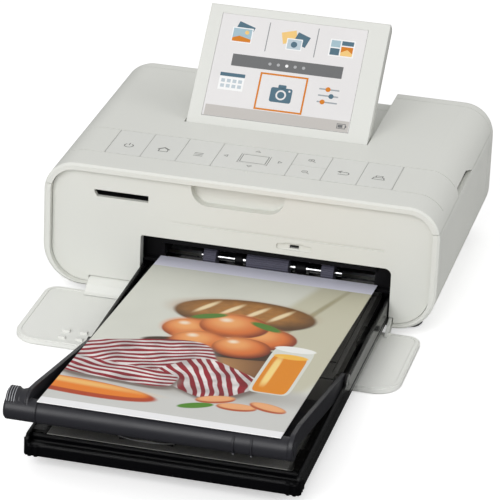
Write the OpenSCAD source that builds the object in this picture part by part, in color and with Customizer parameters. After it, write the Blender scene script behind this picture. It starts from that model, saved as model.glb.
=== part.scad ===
// Compact photo printer with its paper cassette in place, the front door down
// and the screen raised. Sizes in millimetres: X to the right, Y to the back,
// Z up, with the feet and the open door on z = 0.

/* [Casing] */
// Width of the casing over both rounded sides
body_w = 180.6; // [180:0.1:184]
// Depth of the casing from the front rim to the rear
body_d = 135.9; // [135:0.1:140]
// Height of the top surface above the table
body_h = 63.3; // [63:0.1:66]
// Height of the casing's underside above the table
ground_gap = 4.4; // [4.3:0.1:4.6]
// Radius of the long upper edges
top_r = 14.5; // [13:0.5:15]
// Radius of the long lower edges
low_r = 18.3; // [17:0.1:19]
// Thickness of the plastic walls
wall = 2.2; // [2:0.1:2.3]
// Width of the raised rim round the front panel
rim_w = 3.2; // [3:0.1:3.6]
// Depth of the front panel behind the rim
panel_set = 3; // [2.8:0.1:3.2]
// Height of the seam between upper and lower casing
seam_z = 52; // [51.8:0.1:52.2]
// Depth of the separate rear cover
rear_d = 8; // [7.5:0.5:8.5]
// Width of the gap that shows between two casing parts
seam = 0.2; // [0.1:0.05:0.3]

/* [Front] */
// Distance of the cassette's centre to the right of the casing's centre
bay_x = 11.8; // [11.6:0.1:12]
// Height of the top edge of the paper opening
bay_top = 31.6; // [31.4:0.1:32]
// Clearance on each side of the cassette in the opening
bay_fit = 0.4; // [0.3:0.05:0.6]
// Length of the memory card slot
card_w = 25; // [24.5:0.1:25.5]
// Height of the memory card slot
card_h = 3.2; // [3:0.1:3.4]
// Width of the finger scoop under the upper rim
scoop_w = 42.6; // [41:0.1:44]
// Height of the finger scoop
scoop_h = 9.8; // [9:0.1:10]
// Depth of the open front door
door_l = 56.5; // [55:0.5:58]
// Thickness of the front door
door_t = 3; // [2.6:0.1:3.2]

/* [Screen] */
// Width of the tilting screen unit
screen_w = 85.4; // [84:0.1:86]
// Length of the screen unit from its hinge to its free edge
screen_l = 61.2; // [60:0.1:61.5]
// Thickness of the screen unit
screen_t = 6.6; // [6.4:0.1:6.8]
// Raised angle of the screen above flat, in degrees
screen_tilt = 47; // [40:1:50]
// Width of the visible picture area
view_w = 69.4; // [68:0.1:70]
// Height of the visible picture area
view_l = 51.7; // [50:0.1:52]

/* [Keys] */
// Width of one key, from divider to divider
key_w = 16.25; // [16:0.05:16.4]
// Width of the four-way pad
pad_w = 34.2; // [33.5:0.1:34.6]
// Depth of the row of keys from front to back
key_l = 27.8; // [27:0.1:28.2]
// Gap between two keys
key_gap = 0.3; // [0.25:0.05:0.4]
// Travel of each key
key_travel = 0.35; // [0.25:0.05:0.35]

/* [Rollers] */
// Radius of the ribbed pick-up rollers
pick_r = 4.6; // [4.4:0.1:4.7]
// Radius of the bright shaft through the pick-up rollers
shaft_r = 1.5; // [1.4:0.1:1.6]
// Radius of the paper feed roller
feed_r = 4; // [3.8:0.1:4]
// Radius of the platen roller under the print head
platen_r = 5; // [4.8:0.1:5]
// Radial running clearance of shafts and pins in their holes
run_fit = 0.06; // [0.04:0.01:0.08]

/* [Cassette] */
// Width of the paper
paper_w = 100; // [99:0.5:100.5]
// Length of a sheet with both tear-off strips
paper_l = 186; // [185:0.5:186.5]
// Height of the stack of paper
stack_h = 5.9; // [3:0.1:5.9]
// Angle at which the folded-back lid rises, in degrees
lid_rise = 11.3; // [11:0.1:11.6]
// Radius of the round bar at the end of the lid
bar_r = 4.8; // [4.6:0.1:4.9]

/* [Hidden] */
$fn = 48;

half_w = body_w / 2;
body_z0 = ground_gap;
edge_front = 1;
edge_rear = 3;
panel_y = panel_set;
panel_t = 2.2;
panel_back = panel_y + panel_t;
rear_y = body_d - rear_d;
// cassette bay
floor_t = 1.5;
floor_z = body_z0 + floor_t;
tray_w = paper_w + 14;
tray_l = paper_l + 10.6;
tray_x0 = bay_x - tray_w / 2;
tray_x1 = bay_x + tray_w / 2;
bay_x0 = tray_x0 - bay_fit;
bay_x1 = tray_x1 + bay_fit;
return_t = 1.4;
return_y = panel_back + 2.8;
// cassette
tray_z = floor_z + 0.3;
tray_wall = 1.3;
tray_floor = 1.2;
tray_y1 = 28;
tray_y0 = tray_y1 - tray_l;
near_top = tray_z + 9;
far_top = tray_z + 10.4;
stack_z = tray_z + tray_floor + 0.3;
stack_top = stack_z + 5.6;
stack_y1 = tray_y1 - 3.6;
paper_x0 = bay_x - paper_w / 2;
lid_y = -80;
lid_z = tray_z + 8.4;
lid_pin_r = 1.2;
grip_x = 2.5;
grip_s = 4.2;
lid_boss_r = 4;
wing_t = 1.8;
wing_gap = 0.3;
left_top = 4.9;
wing_x0 = tray_x0 + tray_wall + wing_gap;
wing_x1 = tray_x1 - tray_wall - wing_gap;
lug_x0 = wing_x0 + wing_t + wing_gap;
lug_x1 = wing_x1 - wing_t - wing_gap;
lug_w = 2.4;
lug_r = 2.4;
bar_s = lid_y - tray_y0 + 5.9;
bar_x0 = tray_x0 - 6.6;
bar_t = -4;
// grip at the left end of the bar, in the level frame of the lid
grip_y = -bar_s + 2;
grip_z = bar_t + 2.7;
waist_r = 5;
rib_r = 5.8;
// middle and radius of the round end of each wing
left_end = [grip_y, grip_z, waist_r + 0.7];
right_end = [-bar_s, bar_t + 0.9, bar_r + 0.9];
// the bar lies on the line along which the lid rises from its hinge
bar_y = lid_y - bar_s * cos(lid_rise) + bar_t * sin(lid_rise);
bar_z = lid_z + bar_s * sin(lid_rise) + bar_t * cos(lid_rise);
// loose print: from the bar to the ledges in the opening
print_y1 = 11.7;
print_z1 = far_top + 2.1;
print_t = 0.3;
print_tilt = atan2(bar_z - print_z1, print_y1 - bar_y)
    + asin((bar_r + 0.15) / norm([bar_z - print_z1, print_y1 - bar_y]));
// middle of the whole object from front to back, which is put on y = 0
front_y = bar_y - bar_r;
mid_y = (front_y + body_d) / 2;
// screen
screen_y = 69;
screen_z = body_h - screen_t / 2;
screen_pin_r = 1.25;
screen_gap = 0.6;
well_x = screen_w / 2 + screen_gap;
well_y = screen_y - screen_t / 2 - 0.5;
well_z = body_h - screen_t - 0.4;
well_t = 1.6;
view_x = -1.7;
view_v = 30.8;
bezel_t = 0.8;
half_t = screen_t / 2;
panel_m = 1.1;
// keys
keys_x = -1.45;
keys_x0 = keys_x - 3 * key_w - pad_w / 2;
keys_y0 = 17.5;
keys_y1 = keys_y0 + key_l;
pad_x0 = keys_x0 + 3 * key_w;
pad_x1 = pad_x0 + pad_w;
keys_x1 = pad_x1 + 3 * key_w;
pad_cx = (pad_x0 + pad_x1) / 2;
pad_cy = (keys_y0 + keys_y1) / 2;
// places of the domes under the keys
key_spots = [[keys_x0 + key_w / 2, pad_cy], [keys_x0 + key_w * 1.5, pad_cy],
    [keys_x0 + key_w * 2.5, pad_cy], [pad_cx - 12, pad_cy], [pad_cx + 12, pad_cy],
    [pad_cx, pad_cy - 9.5], [pad_cx, pad_cy + 9.5], [pad_cx, pad_cy],
    [pad_x1 + key_w / 2, pad_cy - key_l / 4], [pad_x1 + key_w / 2, pad_cy + key_l / 4],
    [pad_x1 + key_w * 1.5, pad_cy], [pad_x1 + key_w * 2.5, pad_cy]];
key_tone = [0.86, 0.86, 0.83];
ok_w = 13.6;
ok_l = 10.7;
key_t = 1.9;
mat_z = body_h - 7.1;
dome_h = 0.9;
stem_z = mat_z + dome_h + key_travel + 0.1;
board_t = 1.2;
main_z = mat_z - 4;
board_y1 = 60;
// rollers
pick_y = 20;
pick_z = stack_top + 0.6 + pick_r;
arm_y = 38;
arm_z = 27;
arm_rod_r = 2;
feed_y = 50;
feed_z = 16.2;
drive_r = 2;
path_z = feed_z + feed_r;
pinch_r = 3;
pinch_z = path_z + 0.35 + pinch_r;
platen_z = path_z - platen_r;
chassis_x0 = -52;
chassis_x1 = 72.2;
plate_t = 1.2;
gear_x0 = -57;
gear_w = 3.6;
gear_m = 0.9;
feed_n = 18;
idler_n = 19;
pinion_n = 8;
platen_y = feed_y + gear_m * (feed_n + idler_n);
idler_y = (feed_y + platen_y) / 2;
idler_z = (feed_z + platen_z) / 2;
pinion_z = idler_z + gear_m * (idler_n + pinion_n) / 2;
// directions from the idler to the gears that it drives
feed_dir = atan2(feed_z - idler_z, feed_y - idler_y);
platen_dir = atan2(platen_z - idler_z, platen_y - idler_y);
motor_r = 11;
motor_x = wall + 7.1 - half_w;
// print head and ink cassette
head_y = platen_y;
head_rest = 3;
head_pivot_y = platen_y + 31;
chassis_y0 = feed_y - 14;
chassis_y1 = rear_y - 5.9;
head_pivot_z = 45;
sink_z1 = head_pivot_z - 1;
head_rod_r = 1.5;
spool_z = 34;
supply_y = platen_y - 17;
takeup_y = platen_y + 17;
spool_tube_r = 8.5;
spool_tube_t = 1.2;
roll_r = 6.4;
ink_x0 = -44;
ink_x1 = 66;
ink_end_t = 2;
journal_r = 2;
web_z = path_z + 1.1;
head_z0 = web_z + 0.3 + head_rest - 1.2;
head_z1 = head_z0 + 5;
// ink cassette door
ink_y0 = panel_back + 3;
ink_y1 = rear_y - 5.9;
ink_pin_r = 0.8;
ink_knuckle_r = 1.5;
// its hinge lies just inside the round lower edge, at this angle below the horizontal
ink_dir = 48;
ink_deep = 1.65;
ink_pin_x = half_w - low_r + (low_r - ink_deep) * cos(ink_dir);
ink_pin_z = body_z0 + low_r - (low_r - ink_deep) * sin(ink_dir);
// room that the door's lower edge needs to swing
ink_swing_r = 2.55;
notch_y0 = 46;
notch_y1 = 78;
notch_h = 3.4;
notch_r = 2.8;
notch_taper = 9;
pocket_h = 3.4;
tab_x = half_w - 5.9;
// details of the front panel
scoop_x0 = keys_x - scoop_w / 2 - 0.25;
card_x0 = 22.8 - half_w;
card_z1 = main_z - 1.4;
step_z = bay_top + 8.7;
groove_h = 0.9;
catch_x0 = 20.2;
catch_z = bay_top + 5.3;
// front door hinge
knuckle_r = 1.7;
hinge_pin_r = 0.8;
hinge_y = panel_back + hinge_pin_r + 0.2;
// closed, the door lies against the panel
hinge_z = door_t + hinge_y - panel_y + 0.1;
door_arm_x0 = -69;
door_arm_x1 = -48.8;
door_lug_x0 = bay_x1 + 0.2;
door_lug_x1 = door_lug_x0 + 1.5;
// front door let down on the table
door_z = 0;
door_x0 = 3.3 - half_w;
door_x1 = half_w - 4.5;
door_y1 = -1.4;
door_y0 = door_y1 - door_l;
// feet, sockets, vents and screws
foot_in = 14.3;
foot_y = 18.5;
usb_y0 = 93;
usb_l = 13;
usb_z0 = 18;
usb_h = 7;
usb_x1 = 16 - half_w;
inlet_x = 16.3 - half_w;
inlet_z = 27;
inlet_r = 3.1;
vent_n = 9;
vent_x0 = -46;
screw_x = half_w - 12.8;
rear_screw = [[-screw_x, 46], [screw_x, 46], [-screw_x, 17], [screw_x, 17]];

// solid of a flat outline in (x, z) between two depths
module along_y(y0, y1) {
    translate([0, y1, 0]) rotate([90, 0, 0]) linear_extrude(y1 - y0) children();
}

// solid of a flat outline in (y, z) between two positions across
module along_x(x0, x1) {
    translate([x0, 0, 0]) rotate([90, 0, 90]) linear_extrude(x1 - x0) children();
}

// solid of a flat outline in (x, y) between two heights
module up_z(z0, z1) {
    translate([0, 0, z0]) linear_extrude(z1 - z0) children();
}

module box(x0, x1, y0, y1, z0, z1) {
    translate([x0, y0, z0]) cube([x1 - x0, y1 - y0, z1 - z0]);
}

module rect(x0, x1, y0, y1) {
    translate([x0, y0]) square([x1 - x0, y1 - y0]);
}

// rectangle with rounded corners
module rrect(x0, x1, y0, y1, r) {
    rect(x0 + r, x1 - r, y0, y1);
    rect(x0, x1, y0 + r, y1 - r);
    for (x = [x0 + r, x1 - r], y = [y0 + r, y1 - r]) translate([x, y]) circle(r);
}

// pointed oval of length l and width w
module lens(x, y, l, w) {
    r = (l * l + w * w) / (4 * w);
    intersection() {
        translate([x, y + w / 2 - r]) circle(r, $fn = 180);
        translate([x, y - w / 2 + r]) circle(r, $fn = 180);
    }
}

// round bar across the printer at depth y and height z
module rod(x0, x1, y, z, r) {
    translate([x0, y, z]) rotate([0, 90, 0]) cylinder(h = x1 - x0, r = r);
}

// turned solid across the printer, from an outline of [radius, place across]
module turned(y, z, outline) {
    translate([0, y, z]) rotate([0, 90, 0]) rotate_extrude() polygon(outline);
}

// round bar from front to back
module rod_y(x, z, y0, y1, r) {
    translate([x, y1, z]) rotate([90, 0, 0]) cylinder(h = y1 - y0, r = r);
}

// every node stands in the frame whose origin is under the middle of the object
module placed() {
    translate([0, -mid_y, 0]) children();
}

// outline of the casing across its width, i inside the surface
module profile(i, low = 0) {
    w = half_w - i;
    rt = top_r - i;
    rb = low_r - i + low / 2;
    z0 = body_z0 + i - low;
    z1 = body_h - i;
    rect(rb - w, w - rb, z0, z1);
    rect(rt - w, w - rt, z0 + rb, z1);
    rect(-w, w, z0 + rb, z1 - rt);
    for (x = [rt - w, w - rt]) translate([x, z1 - rt]) circle(rt);
    for (x = [rb - w, w - rb]) translate([x, z0 + rb]) circle(rb);
}

// sloped band round the outline: i0 inside the surface at depth y0, i1 at y1
module band(y0, i0, y1, i1) {
    deep = max(i0, i1) + 2;
    pts = [[i0, y0], [i1, y1], [deep, y1], [deep, y0]];
    z0 = body_z0;
    z1 = body_h;
    along_x(top_r - half_w, half_w - top_r) polygon([for (p = pts) [p[1], z1 - p[0]]]);
    along_x(low_r - half_w, half_w - low_r) polygon([for (p = pts) [p[1], z0 + p[0]]]);
    for (s = [-1, 1]) {
        up_z(z0 + low_r, z1 - top_r) polygon([for (p = pts) [s * (half_w - p[0]), p[1]]]);
    }
    for (a = [0, 90]) {
        translate([a == 0 ? half_w - top_r : top_r - half_w, 0, z1 - top_r]) rotate([0, -a, 0])
            rotate([90, 0, 0]) rotate_extrude(angle = 90)
                polygon([for (p = pts) [top_r - p[0], -p[1]]]);
        translate([a == 0 ? low_r - half_w : half_w - low_r, 0, z0 + low_r])
            rotate([0, -a - 180, 0]) rotate([90, 0, 0]) rotate_extrude(angle = 90)
                polygon([for (p = pts) [low_r - p[0], -p[1]]]);
    }
}

// casing as one block, its front edge bevelled and its rear edge eased in three steps
module casing_block() {
    along_y(edge_front, body_d - edge_rear) profile(0);
    along_y(0, edge_front) profile(edge_front + 1);
    band(0, edge_front, edge_front, 0);
    e = edge_rear;
    along_y(body_d - e, body_d) profile(e + 1);
    band(body_d - e, 0, body_d - e / 2, e * 0.13);
    band(body_d - e / 2, e * 0.13, body_d - e * 0.13, e / 2);
    band(body_d - e * 0.13, e / 2, body_d, e);
}

// opening inside the front rim
module panel_outline(gap) {
    difference() {
        profile(rim_w + gap, rim_w - 1.2);
        rect(-half_w, half_w, 0, body_z0 + 1.2 + gap);
    }
}

module casing_shell() {
    difference() {
        casing_block();
        along_y(panel_back + 0.4, body_d - wall) profile(wall);
        along_y(-1, panel_back + 1) panel_outline(0);
    }
}

module top_cover() placed() color([0.85, 0.85, 0.82]) {
    difference() {
        union() {
            intersection() {
                casing_shell();
                box(-half_w - 1, half_w + 1, -1, rear_y - seam / 2, seam_z + seam / 2, body_h + 1);
            }
            // well for the folded screen
            box(-well_x - well_t, well_x + well_t, well_y - well_t, rear_y - seam / 2,
                well_z - well_t, body_h - wall + 0.2);
            // posts that hold the board under the keys
            for (x = [keys_x0 - 4, keys_x1 + 4], y = [keys_y0 + 3, keys_y1 - 3])
                translate([x, y, mat_z]) cylinder(h = body_h - mat_z - 1, r = 2);
            // wall and rear end of the pocket behind the finger notch
            box(ink_pin_x - 0.6, tab_x - 0.3, notch_y0 - 1.5, notch_y1 + 9, seam_z - 3, seam_z + 6.4);
            box(ink_pin_x - 0.6, half_w - 3.4, notch_y1 + 7.8, notch_y1 + 9, seam_z + 0.2, seam_z + 4.5);
            // small raised point in front of the four-way pad
            translate([pad_cx, keys_y0 - 1.5, body_h - 0.2]) cylinder(h = 0.5, r = 0.7);
        }
        // well
        box(-well_x, well_x, well_y, rear_y + 1, well_z, body_h + 1);
        // window for the keys
        box(keys_x0 - key_gap, keys_x1 + key_gap, keys_y0 - key_gap, keys_y1 + key_gap,
            body_h - 5, body_h + 1);
        // lines that carry the key row over both shoulders
        for (y = [keys_y0 - key_gap, keys_y1 + key_gap]) along_y(y - 0.25, y + 0.25) difference() {
            profile(-1);
            profile(0.45);
            rect(keys_x0 - 1, keys_x1 + 1, 0, body_h + 2);
            rect(-half_w - 2, half_w + 2, 0, seam_z + 4.5);
        }
        // finger notch for the ink door
        along_x(ink_pin_x + 0.6, half_w + 1) notch_outline(0);
        // holes for the screen's pins
        rod(-well_x - well_t - 1, well_x + well_t + 1, screen_y, screen_z, screen_pin_r);
    }
}

// outline of the paper opening in (x, z)
module bay_outline(i) {
    x0 = bay_x0 - i;
    x1 = bay_x1 + i;
    z1 = bay_top + i;
    difference() {
        rect(x0, x1, 0, z1);
        translate([x1 - 3, z1 - 3]) difference() {
            rect(0, 4, 0, 4);
            circle(3);
        }
        translate([x0 + 1.2, z1 - 1.2]) difference() {
            rect(-2, 0, 0, 2);
            circle(1.2);
        }
    }
}

// outline of the finger scoop, flat above and rounded below
module scoop_outline(i) {
    x0 = scoop_x0 - i;
    x1 = scoop_x0 + scoop_w + i;
    z1 = body_h - rim_w - 0.6 + i;
    z0 = z1 - scoop_h - 2 * i;
    r = 8;
    intersection() {
        union() {
            rect(x0, x1, z0 + r, z1);
            rect(x0 + r, x1 - r, z0, z1);
            for (x = [x0 + r, x1 - r]) translate([x, z0 + r]) circle(r);
        }
        rect(x0, x1, z0, z1);
    }
}

module card_outline(i) {
    x1 = card_x0 + card_w + i;
    z0 = card_z1 - card_h - i;
    polygon([[card_x0 - i, card_z1 + i], [x1, card_z1 + i], [x1, z0],
        [card_x0 + 1.3 - i, z0], [card_x0 - i, card_z1 - 1.2]]);
}

module front_panel() placed() color([0.84, 0.84, 0.81]) {
    difference() {
        union() {
            along_y(panel_y, panel_back) panel_outline(0.15);
            // return round the opening
            along_y(panel_back - 0.1, return_y) difference() {
                bay_outline(return_t);
                rect(-half_w, half_w, 0, floor_z + 0.2);
            }
            // cup of the finger scoop
            along_y(panel_back - 0.1, panel_back + 3.6) intersection() {
                scoop_outline(1.2);
                panel_outline(0.15);
            }
        }
        along_y(panel_y - 1, panel_back + 2.4) scoop_outline(0);
        along_y(panel_y - 1, panel_back + 6) bay_outline(0);
        along_y(panel_y - 1, panel_back + 1) card_outline(0);
        // groove above the opening, which fades out towards the left
        up_z(step_z - groove_h, step_z) polygon([[bay_x0 + 12, panel_y - 0.01],
            [bay_x0 + 30, panel_y + 0.45], [bay_x1 - 4.4, panel_y + 0.45], [bay_x1 - 3.7, panel_y - 0.01]]);
        // latch window and the slit above it
        along_y(panel_y - 1, panel_y + 0.9)
            rrect(catch_x0 - 3.4, catch_x0 + 12.6, catch_z - 2.9, catch_z, 1.2);
        along_y(panel_y - 1, panel_back + 1)
            rect(catch_x0 + 2.5, catch_x0 + 6.7, catch_z - 2.1, catch_z - 0.4);
        along_y(panel_y - 1, panel_y + 1) rect(catch_x0, catch_x0 + 9, catch_z, catch_z + 0.5);
        // notches for the door's hinge
        box(door_arm_x0 - 0.4, door_arm_x1 + 0.4, 0, panel_back + 1, 0, hinge_z + knuckle_r + 0.4);
        box(bay_x1 - 1, door_lug_x1 + 0.4, 0, return_y + 1, 0, hinge_z + knuckle_r + 0.4);
    }
}

// outline of the finger notch in (y, z), round in front and tapered behind, drawn in by i
module notch_outline(i) {
    y0 = notch_y0 + i;
    y1 = notch_y1 - i;
    z0 = seam_z - pocket_h;
    z1 = seam_z + notch_h - i;
    translate([y0 + notch_r, z1 - notch_r]) circle(notch_r);
    rect(y0, y0 + notch_r + 0.1, z0, z1 - notch_r);
    polygon([[y0 + notch_r, z0], [y0 + notch_r, z1], [y1 - notch_taper, z1], [y1, seam_z + 0.6],
        [y1, z0]]);
}

// region of the right side that the ink door closes, its lower edge turned by a few degrees
module ink_side(turn) {
    cx = half_w - low_r;
    cz = body_z0 + low_r;
    a = ink_dir - turn;
    polygon([[cx, cz], [cx + 40 * cos(a), cz - 40 * sin(a)], [cx + 60, cz - 20],
        [cx + 60, seam_z + 1], [ink_pin_x - 6, seam_z + 1], [ink_pin_x - 6, cz]]);
}

module bottom_case() placed() color([0.83, 0.83, 0.80]) {
    difference() {
        union() {
            intersection() {
                casing_shell();
                box(-half_w - 1, half_w + 1, -1, rear_y - seam / 2, 0, seam_z - seam / 2);
            }
            // frame that closes the rear of the shell
            along_y(rear_y - seam / 2 - 2, rear_y - seam / 2) intersection() {
                profile(wall - 0.3);
                difference() {
                    rect(-half_w, half_w, 0, seam_z - seam / 2);
                    rect(paper_x0 - 25, paper_x0 + paper_w + 5, floor_z + 3, seam_z + 1);
                    rect(inlet_x - 5.3, inlet_x + 5.3, inlet_z - 5.3, inlet_z + 5.3);
                }
            }
            // bosses for the rear screws
            for (p = rear_screw) rod_y(p[0], p[1], rear_y - 9, rear_y - seam / 2, 3.4);
            // blocks that hold the pins of the front door
            for (x = [[door_arm_x0 - 3, door_arm_x0 - 0.4],
                [door_arm_x1 + 0.4, bay_x0 - return_t - 0.15],
                [door_lug_x1 + 0.4, door_lug_x1 + 4]])
                box(x[0], x[1], panel_back + 0.1, hinge_y + 2.4, floor_z - 0.5, hinge_z + 2);
            // lugs that hold the pins of the ink door
            for (y = [ink_y0 - 2.5, ink_y1 + 0.2]) intersection() {
                along_y(y, y + 2.3) profile(0.2);
                box(ink_pin_x - 3, half_w, y, y + 2.3, 0, ink_pin_z + 3);
            }
            // pedestal of the cable socket
            box(usb_x1 - 5.5, usb_x1, usb_y0 + 1, usb_y0 + usb_l - 1, floor_z, usb_z0);
        }
        // notches for the door's hinge arm and lug
        box(door_arm_x0 - 0.4, door_arm_x1 + 0.4, -1, hinge_y + knuckle_r + 0.4, 0,
            hinge_z + knuckle_r + 0.4);
        box(door_lug_x0 - 0.4, door_lug_x1 + 0.4, -1, hinge_y + knuckle_r + 0.4, 0,
            hinge_z + knuckle_r + 0.4);
        // the floor is thinner under the cassette, the frame and the gears
        box(gear_x0 - 2, chassis_x1 + 1.8, panel_back + 0.4, rear_y - seam / 2 - 2, floor_z,
            floor_z + 3);
        // front edge of the floor lies open under the cassette
        box(bay_x0, bay_x1, -1, panel_back + 0.6, floor_z, bay_top);
        box(bay_x0, bay_x1, -1, panel_y - 0.1, 0, bay_top);
        rod(door_arm_x0 - 2.4, door_arm_x1 + 1.6, hinge_y, hinge_z, hinge_pin_r);
        rod(door_lug_x0 - 0.2, door_lug_x1 + 3, hinge_y, hinge_z, hinge_pin_r);
        // opening for the ink cassette, with a round trough for the door's edge
        along_y(ink_y0 - 0.2, ink_y1 + 0.2) ink_side(-0.6);
        rod_y(ink_pin_x, ink_pin_z, ink_y0 - 0.2, ink_y1 + 0.2, ink_swing_r);
        rod_y(ink_pin_x, ink_pin_z, ink_y0 - 2.6, ink_y1 + 2.6, ink_pin_r);
        // holes of the rear screws
        for (p = rear_screw) rod_y(p[0], p[1], rear_y - 8, rear_y + 1, 1.2);
        // opening for the cable socket in the left side
        box(-half_w - 1, wall + 1 - half_w, usb_y0 - 0.2, usb_y0 + usb_l + 0.2, usb_z0 - 0.2,
            usb_z0 + usb_h + 0.2);
    }
}

module rear_cover() placed() color([0.83, 0.83, 0.80]) {
    difference() {
        intersection() {
            casing_block();
            box(-half_w - 1, half_w + 1, rear_y + seam / 2, body_d + 1, 0, body_h + 1);
        }
        along_y(rear_y - 1, body_d - wall) profile(wall);
        // open end of the screen's well
        box(-well_x, well_x, rear_y - 1, body_d + 1, well_z, body_h + 1);
        // paper outlet
        along_y(rear_y, body_d + 1) rrect(paper_x0 - 2.5, paper_x0 + paper_w + 2.5, path_z - 2.6,
            path_z + 3.4, 1.5);
        rod_y(inlet_x, inlet_z, rear_y, body_d + 1, inlet_r);
        // slots that let warm air out
        for (k = [0 : vent_n - 1]) box(vent_x0 + 7 * k, vent_x0 + 4 + 7 * k, rear_y, body_d + 1,
            36, 47);
        for (p = rear_screw) rod_y(p[0], p[1], rear_y, body_d + 1, 1.5);
        for (p = rear_screw) rod_y(p[0], p[1], body_d - 1.2, body_d + 1, 2.9);
    }
    // floor of the well where it runs out through the rear
    box(-well_x - well_t, well_x + well_t, rear_y + seam / 2, body_d - wall + 0.1,
        well_z - well_t, well_z);
    for (p = rear_screw) difference() {
        rod_y(p[0], p[1], rear_y + seam / 2, body_d - wall + 0.1, 3.2);
        rod_y(p[0], p[1], rear_y - 1, body_d, 1.5);
    }
}

module rear_screws() placed() color([0.55, 0.55, 0.57]) {
    for (p = rear_screw) difference() {
        union() {
            rod_y(p[0], p[1], rear_y - 7.6, body_d - 1.1, 1.2);
            rod_y(p[0], p[1], body_d - 1.2, body_d - 0.1, 2.7);
        }
        for (a = [0, 90]) translate([p[0], body_d, p[1]]) rotate([0, a, 0])
            cube([0.7, 1.4, 3.4], center = true);
    }
}

module rubber_feet() placed() color([0.35, 0.35, 0.36]) {
    for (x = [foot_in - half_w, half_w - foot_in], y = [foot_y, body_d - foot_y]) difference() {
        union() {
            translate([x, y, 0.8]) cylinder(h = 9, r = 6);
            translate([x, y, 0]) cylinder(h = 0.9, r1 = 5.2, r2 = 6);
        }
        along_y(0, body_d) profile(0);
    }
}

// pins of the front door and of the ink door
module door_pins() placed() color([0.7, 0.7, 0.72]) {
    rod(door_arm_x0 - 2.2, door_arm_x1 + 1.4, hinge_y, hinge_z, hinge_pin_r);
    rod(door_lug_x0 - 0.1, door_lug_x1 + 2.8, hinge_y, hinge_z, hinge_pin_r);
    rod_y(ink_pin_x, ink_pin_z, ink_y0 - 2.4, ink_y0 + 3.8, ink_pin_r);
    rod_y(ink_pin_x, ink_pin_z, ink_y1 - 3.8, ink_y1 + 2.4, ink_pin_r);
}

// open door seen from above; i draws it in from its edge
module door_outline(i) {
    r1 = 11 - i;
    r2 = 6 - i;
    x0 = door_x0 + i;
    x1 = door_x1 - i;
    y0 = door_y0 + i;
    y1 = door_y1 - i;
    rect(x0 + r1, x1 - r1, y0, y1 - r2);
    rect(x0, x1, y0 + r1, y1 - r2);
    rect(x0 + r2, x1 - r2, y1 - r2 - 0.1, y1);
    for (x = [x0 + r1, x1 - r1]) translate([x, y0 + r1]) circle(r1);
    for (x = [x0 + r2, x1 - r2]) translate([x, y1 - r2]) circle(r2);
}

// side view of a hinge arm that rises from the door to its pin
module door_arm_outline() {
    difference() {
        union() {
            translate([hinge_y, hinge_z]) circle(knuckle_r);
            polygon([[door_y1 - 7, door_z + door_t - 0.4], [door_y1 - 3.4, door_z + door_t + 0.5],
                [door_y1, hinge_z - 0.2], [hinge_y - 2.6, hinge_z + 1.7], [hinge_y, hinge_z + knuckle_r],
                [hinge_y, hinge_z - knuckle_r], [door_y1, door_z + 0.3], [door_y1 - 7, door_z + 0.3]]);
        }
        translate([hinge_y, hinge_z]) circle(hinge_pin_r + run_fit);
    }
}

module front_door() placed() color([0.85, 0.85, 0.82]) {
    up_z(door_z, door_z + 0.6) door_outline(0.6);
    up_z(door_z + 0.55, door_z + door_t - 0.5) door_outline(0);
    up_z(door_z + door_t - 0.6, door_z + door_t) difference() {
        door_outline(0.5);
        door_outline(2.2);
    }
    up_z(door_z + door_t - 0.6, door_z + door_t - 0.25) door_outline(2);
    // small catches near the free edge of the left lobe
    for (x = [-66.5, -58.5]) {
        box(x, x + 3.2, -46.6, -44.8, door_z + door_t - 0.4, door_z + door_t + 0.9);
        box(x, x + 3.2, -53.6, -52.2, door_z + door_t - 0.4, door_z + door_t + 0.9);
    }
}

// knuckles moulded on the back edge of the door
module door_hinge_arms() placed() color([0.85, 0.85, 0.82]) {
    for (x = [[door_arm_x0, door_arm_x1], [door_lug_x0, door_lug_x1]])
        along_x(x[0], x[1]) difference() {
            door_arm_outline();
            rect(door_y1 - 8, door_y1, door_z - 1, door_z + door_t);
        }
}

module latch_catch() placed() color([0.2, 0.2, 0.21]) {
    x0 = catch_x0 + 1.2;
    x1 = catch_x0 + 8;
    box(x0, x1, panel_back, panel_back + 1.2, catch_z - 3.3, catch_z + 0.9);
    box(x0 + 1.5, x1 - 1.5, panel_back - 1.1, panel_back + 0.1, catch_z - 1, catch_z - 0.5);
}

module ink_door() placed() color([0.84, 0.84, 0.81]) {
    difference() {
        union() {
            intersection() {
                along_y(ink_y0, ink_y1) difference() {
                    profile(0);
                    profile(wall);
                }
                along_y(ink_y0, ink_y1) intersection() {
                    ink_side(0);
                    rect(ink_pin_x - 2, half_w + 1, 0, seam_z - seam / 2);
                }
            }
            rod_y(ink_pin_x, ink_pin_z, ink_y0, ink_y1, ink_knuckle_r);
            // finger tab that closes the notch from inside
            along_x(tab_x, tab_x + 1.8) notch_outline(0.5);
            box(tab_x, half_w - 1.3, notch_y0 + 0.6, notch_y1 - 0.6, seam_z - pocket_h,
                seam_z - pocket_h + 1.2);
            // stiffening ribs
            for (y = [ink_y0 + 6, ink_y1 - 8]) intersection() {
                along_y(y, y + 1.6) profile(wall - 0.2);
                box(half_w - wall - 3, half_w, y, y + 1.6, 22, seam_z - 4);
            }
        }
        rod_y(ink_pin_x, ink_pin_z, ink_y0 - 1, ink_y0 + 4, ink_pin_r + run_fit);
        rod_y(ink_pin_x, ink_pin_z, ink_y1 - 4, ink_y1 + 1, ink_pin_r + run_fit);
    }
}

// the screen is drawn flat from its hinge and then raised
module on_screen() {
    translate([0, screen_y, screen_z]) rotate([screen_tilt, 0, 0]) children();
}

module view_rect(m) {
    rect(view_x - view_w / 2 - m, view_x + view_w / 2 + m, view_v - view_l / 2 - m,
        view_v + view_l / 2 + m);
}

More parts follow.
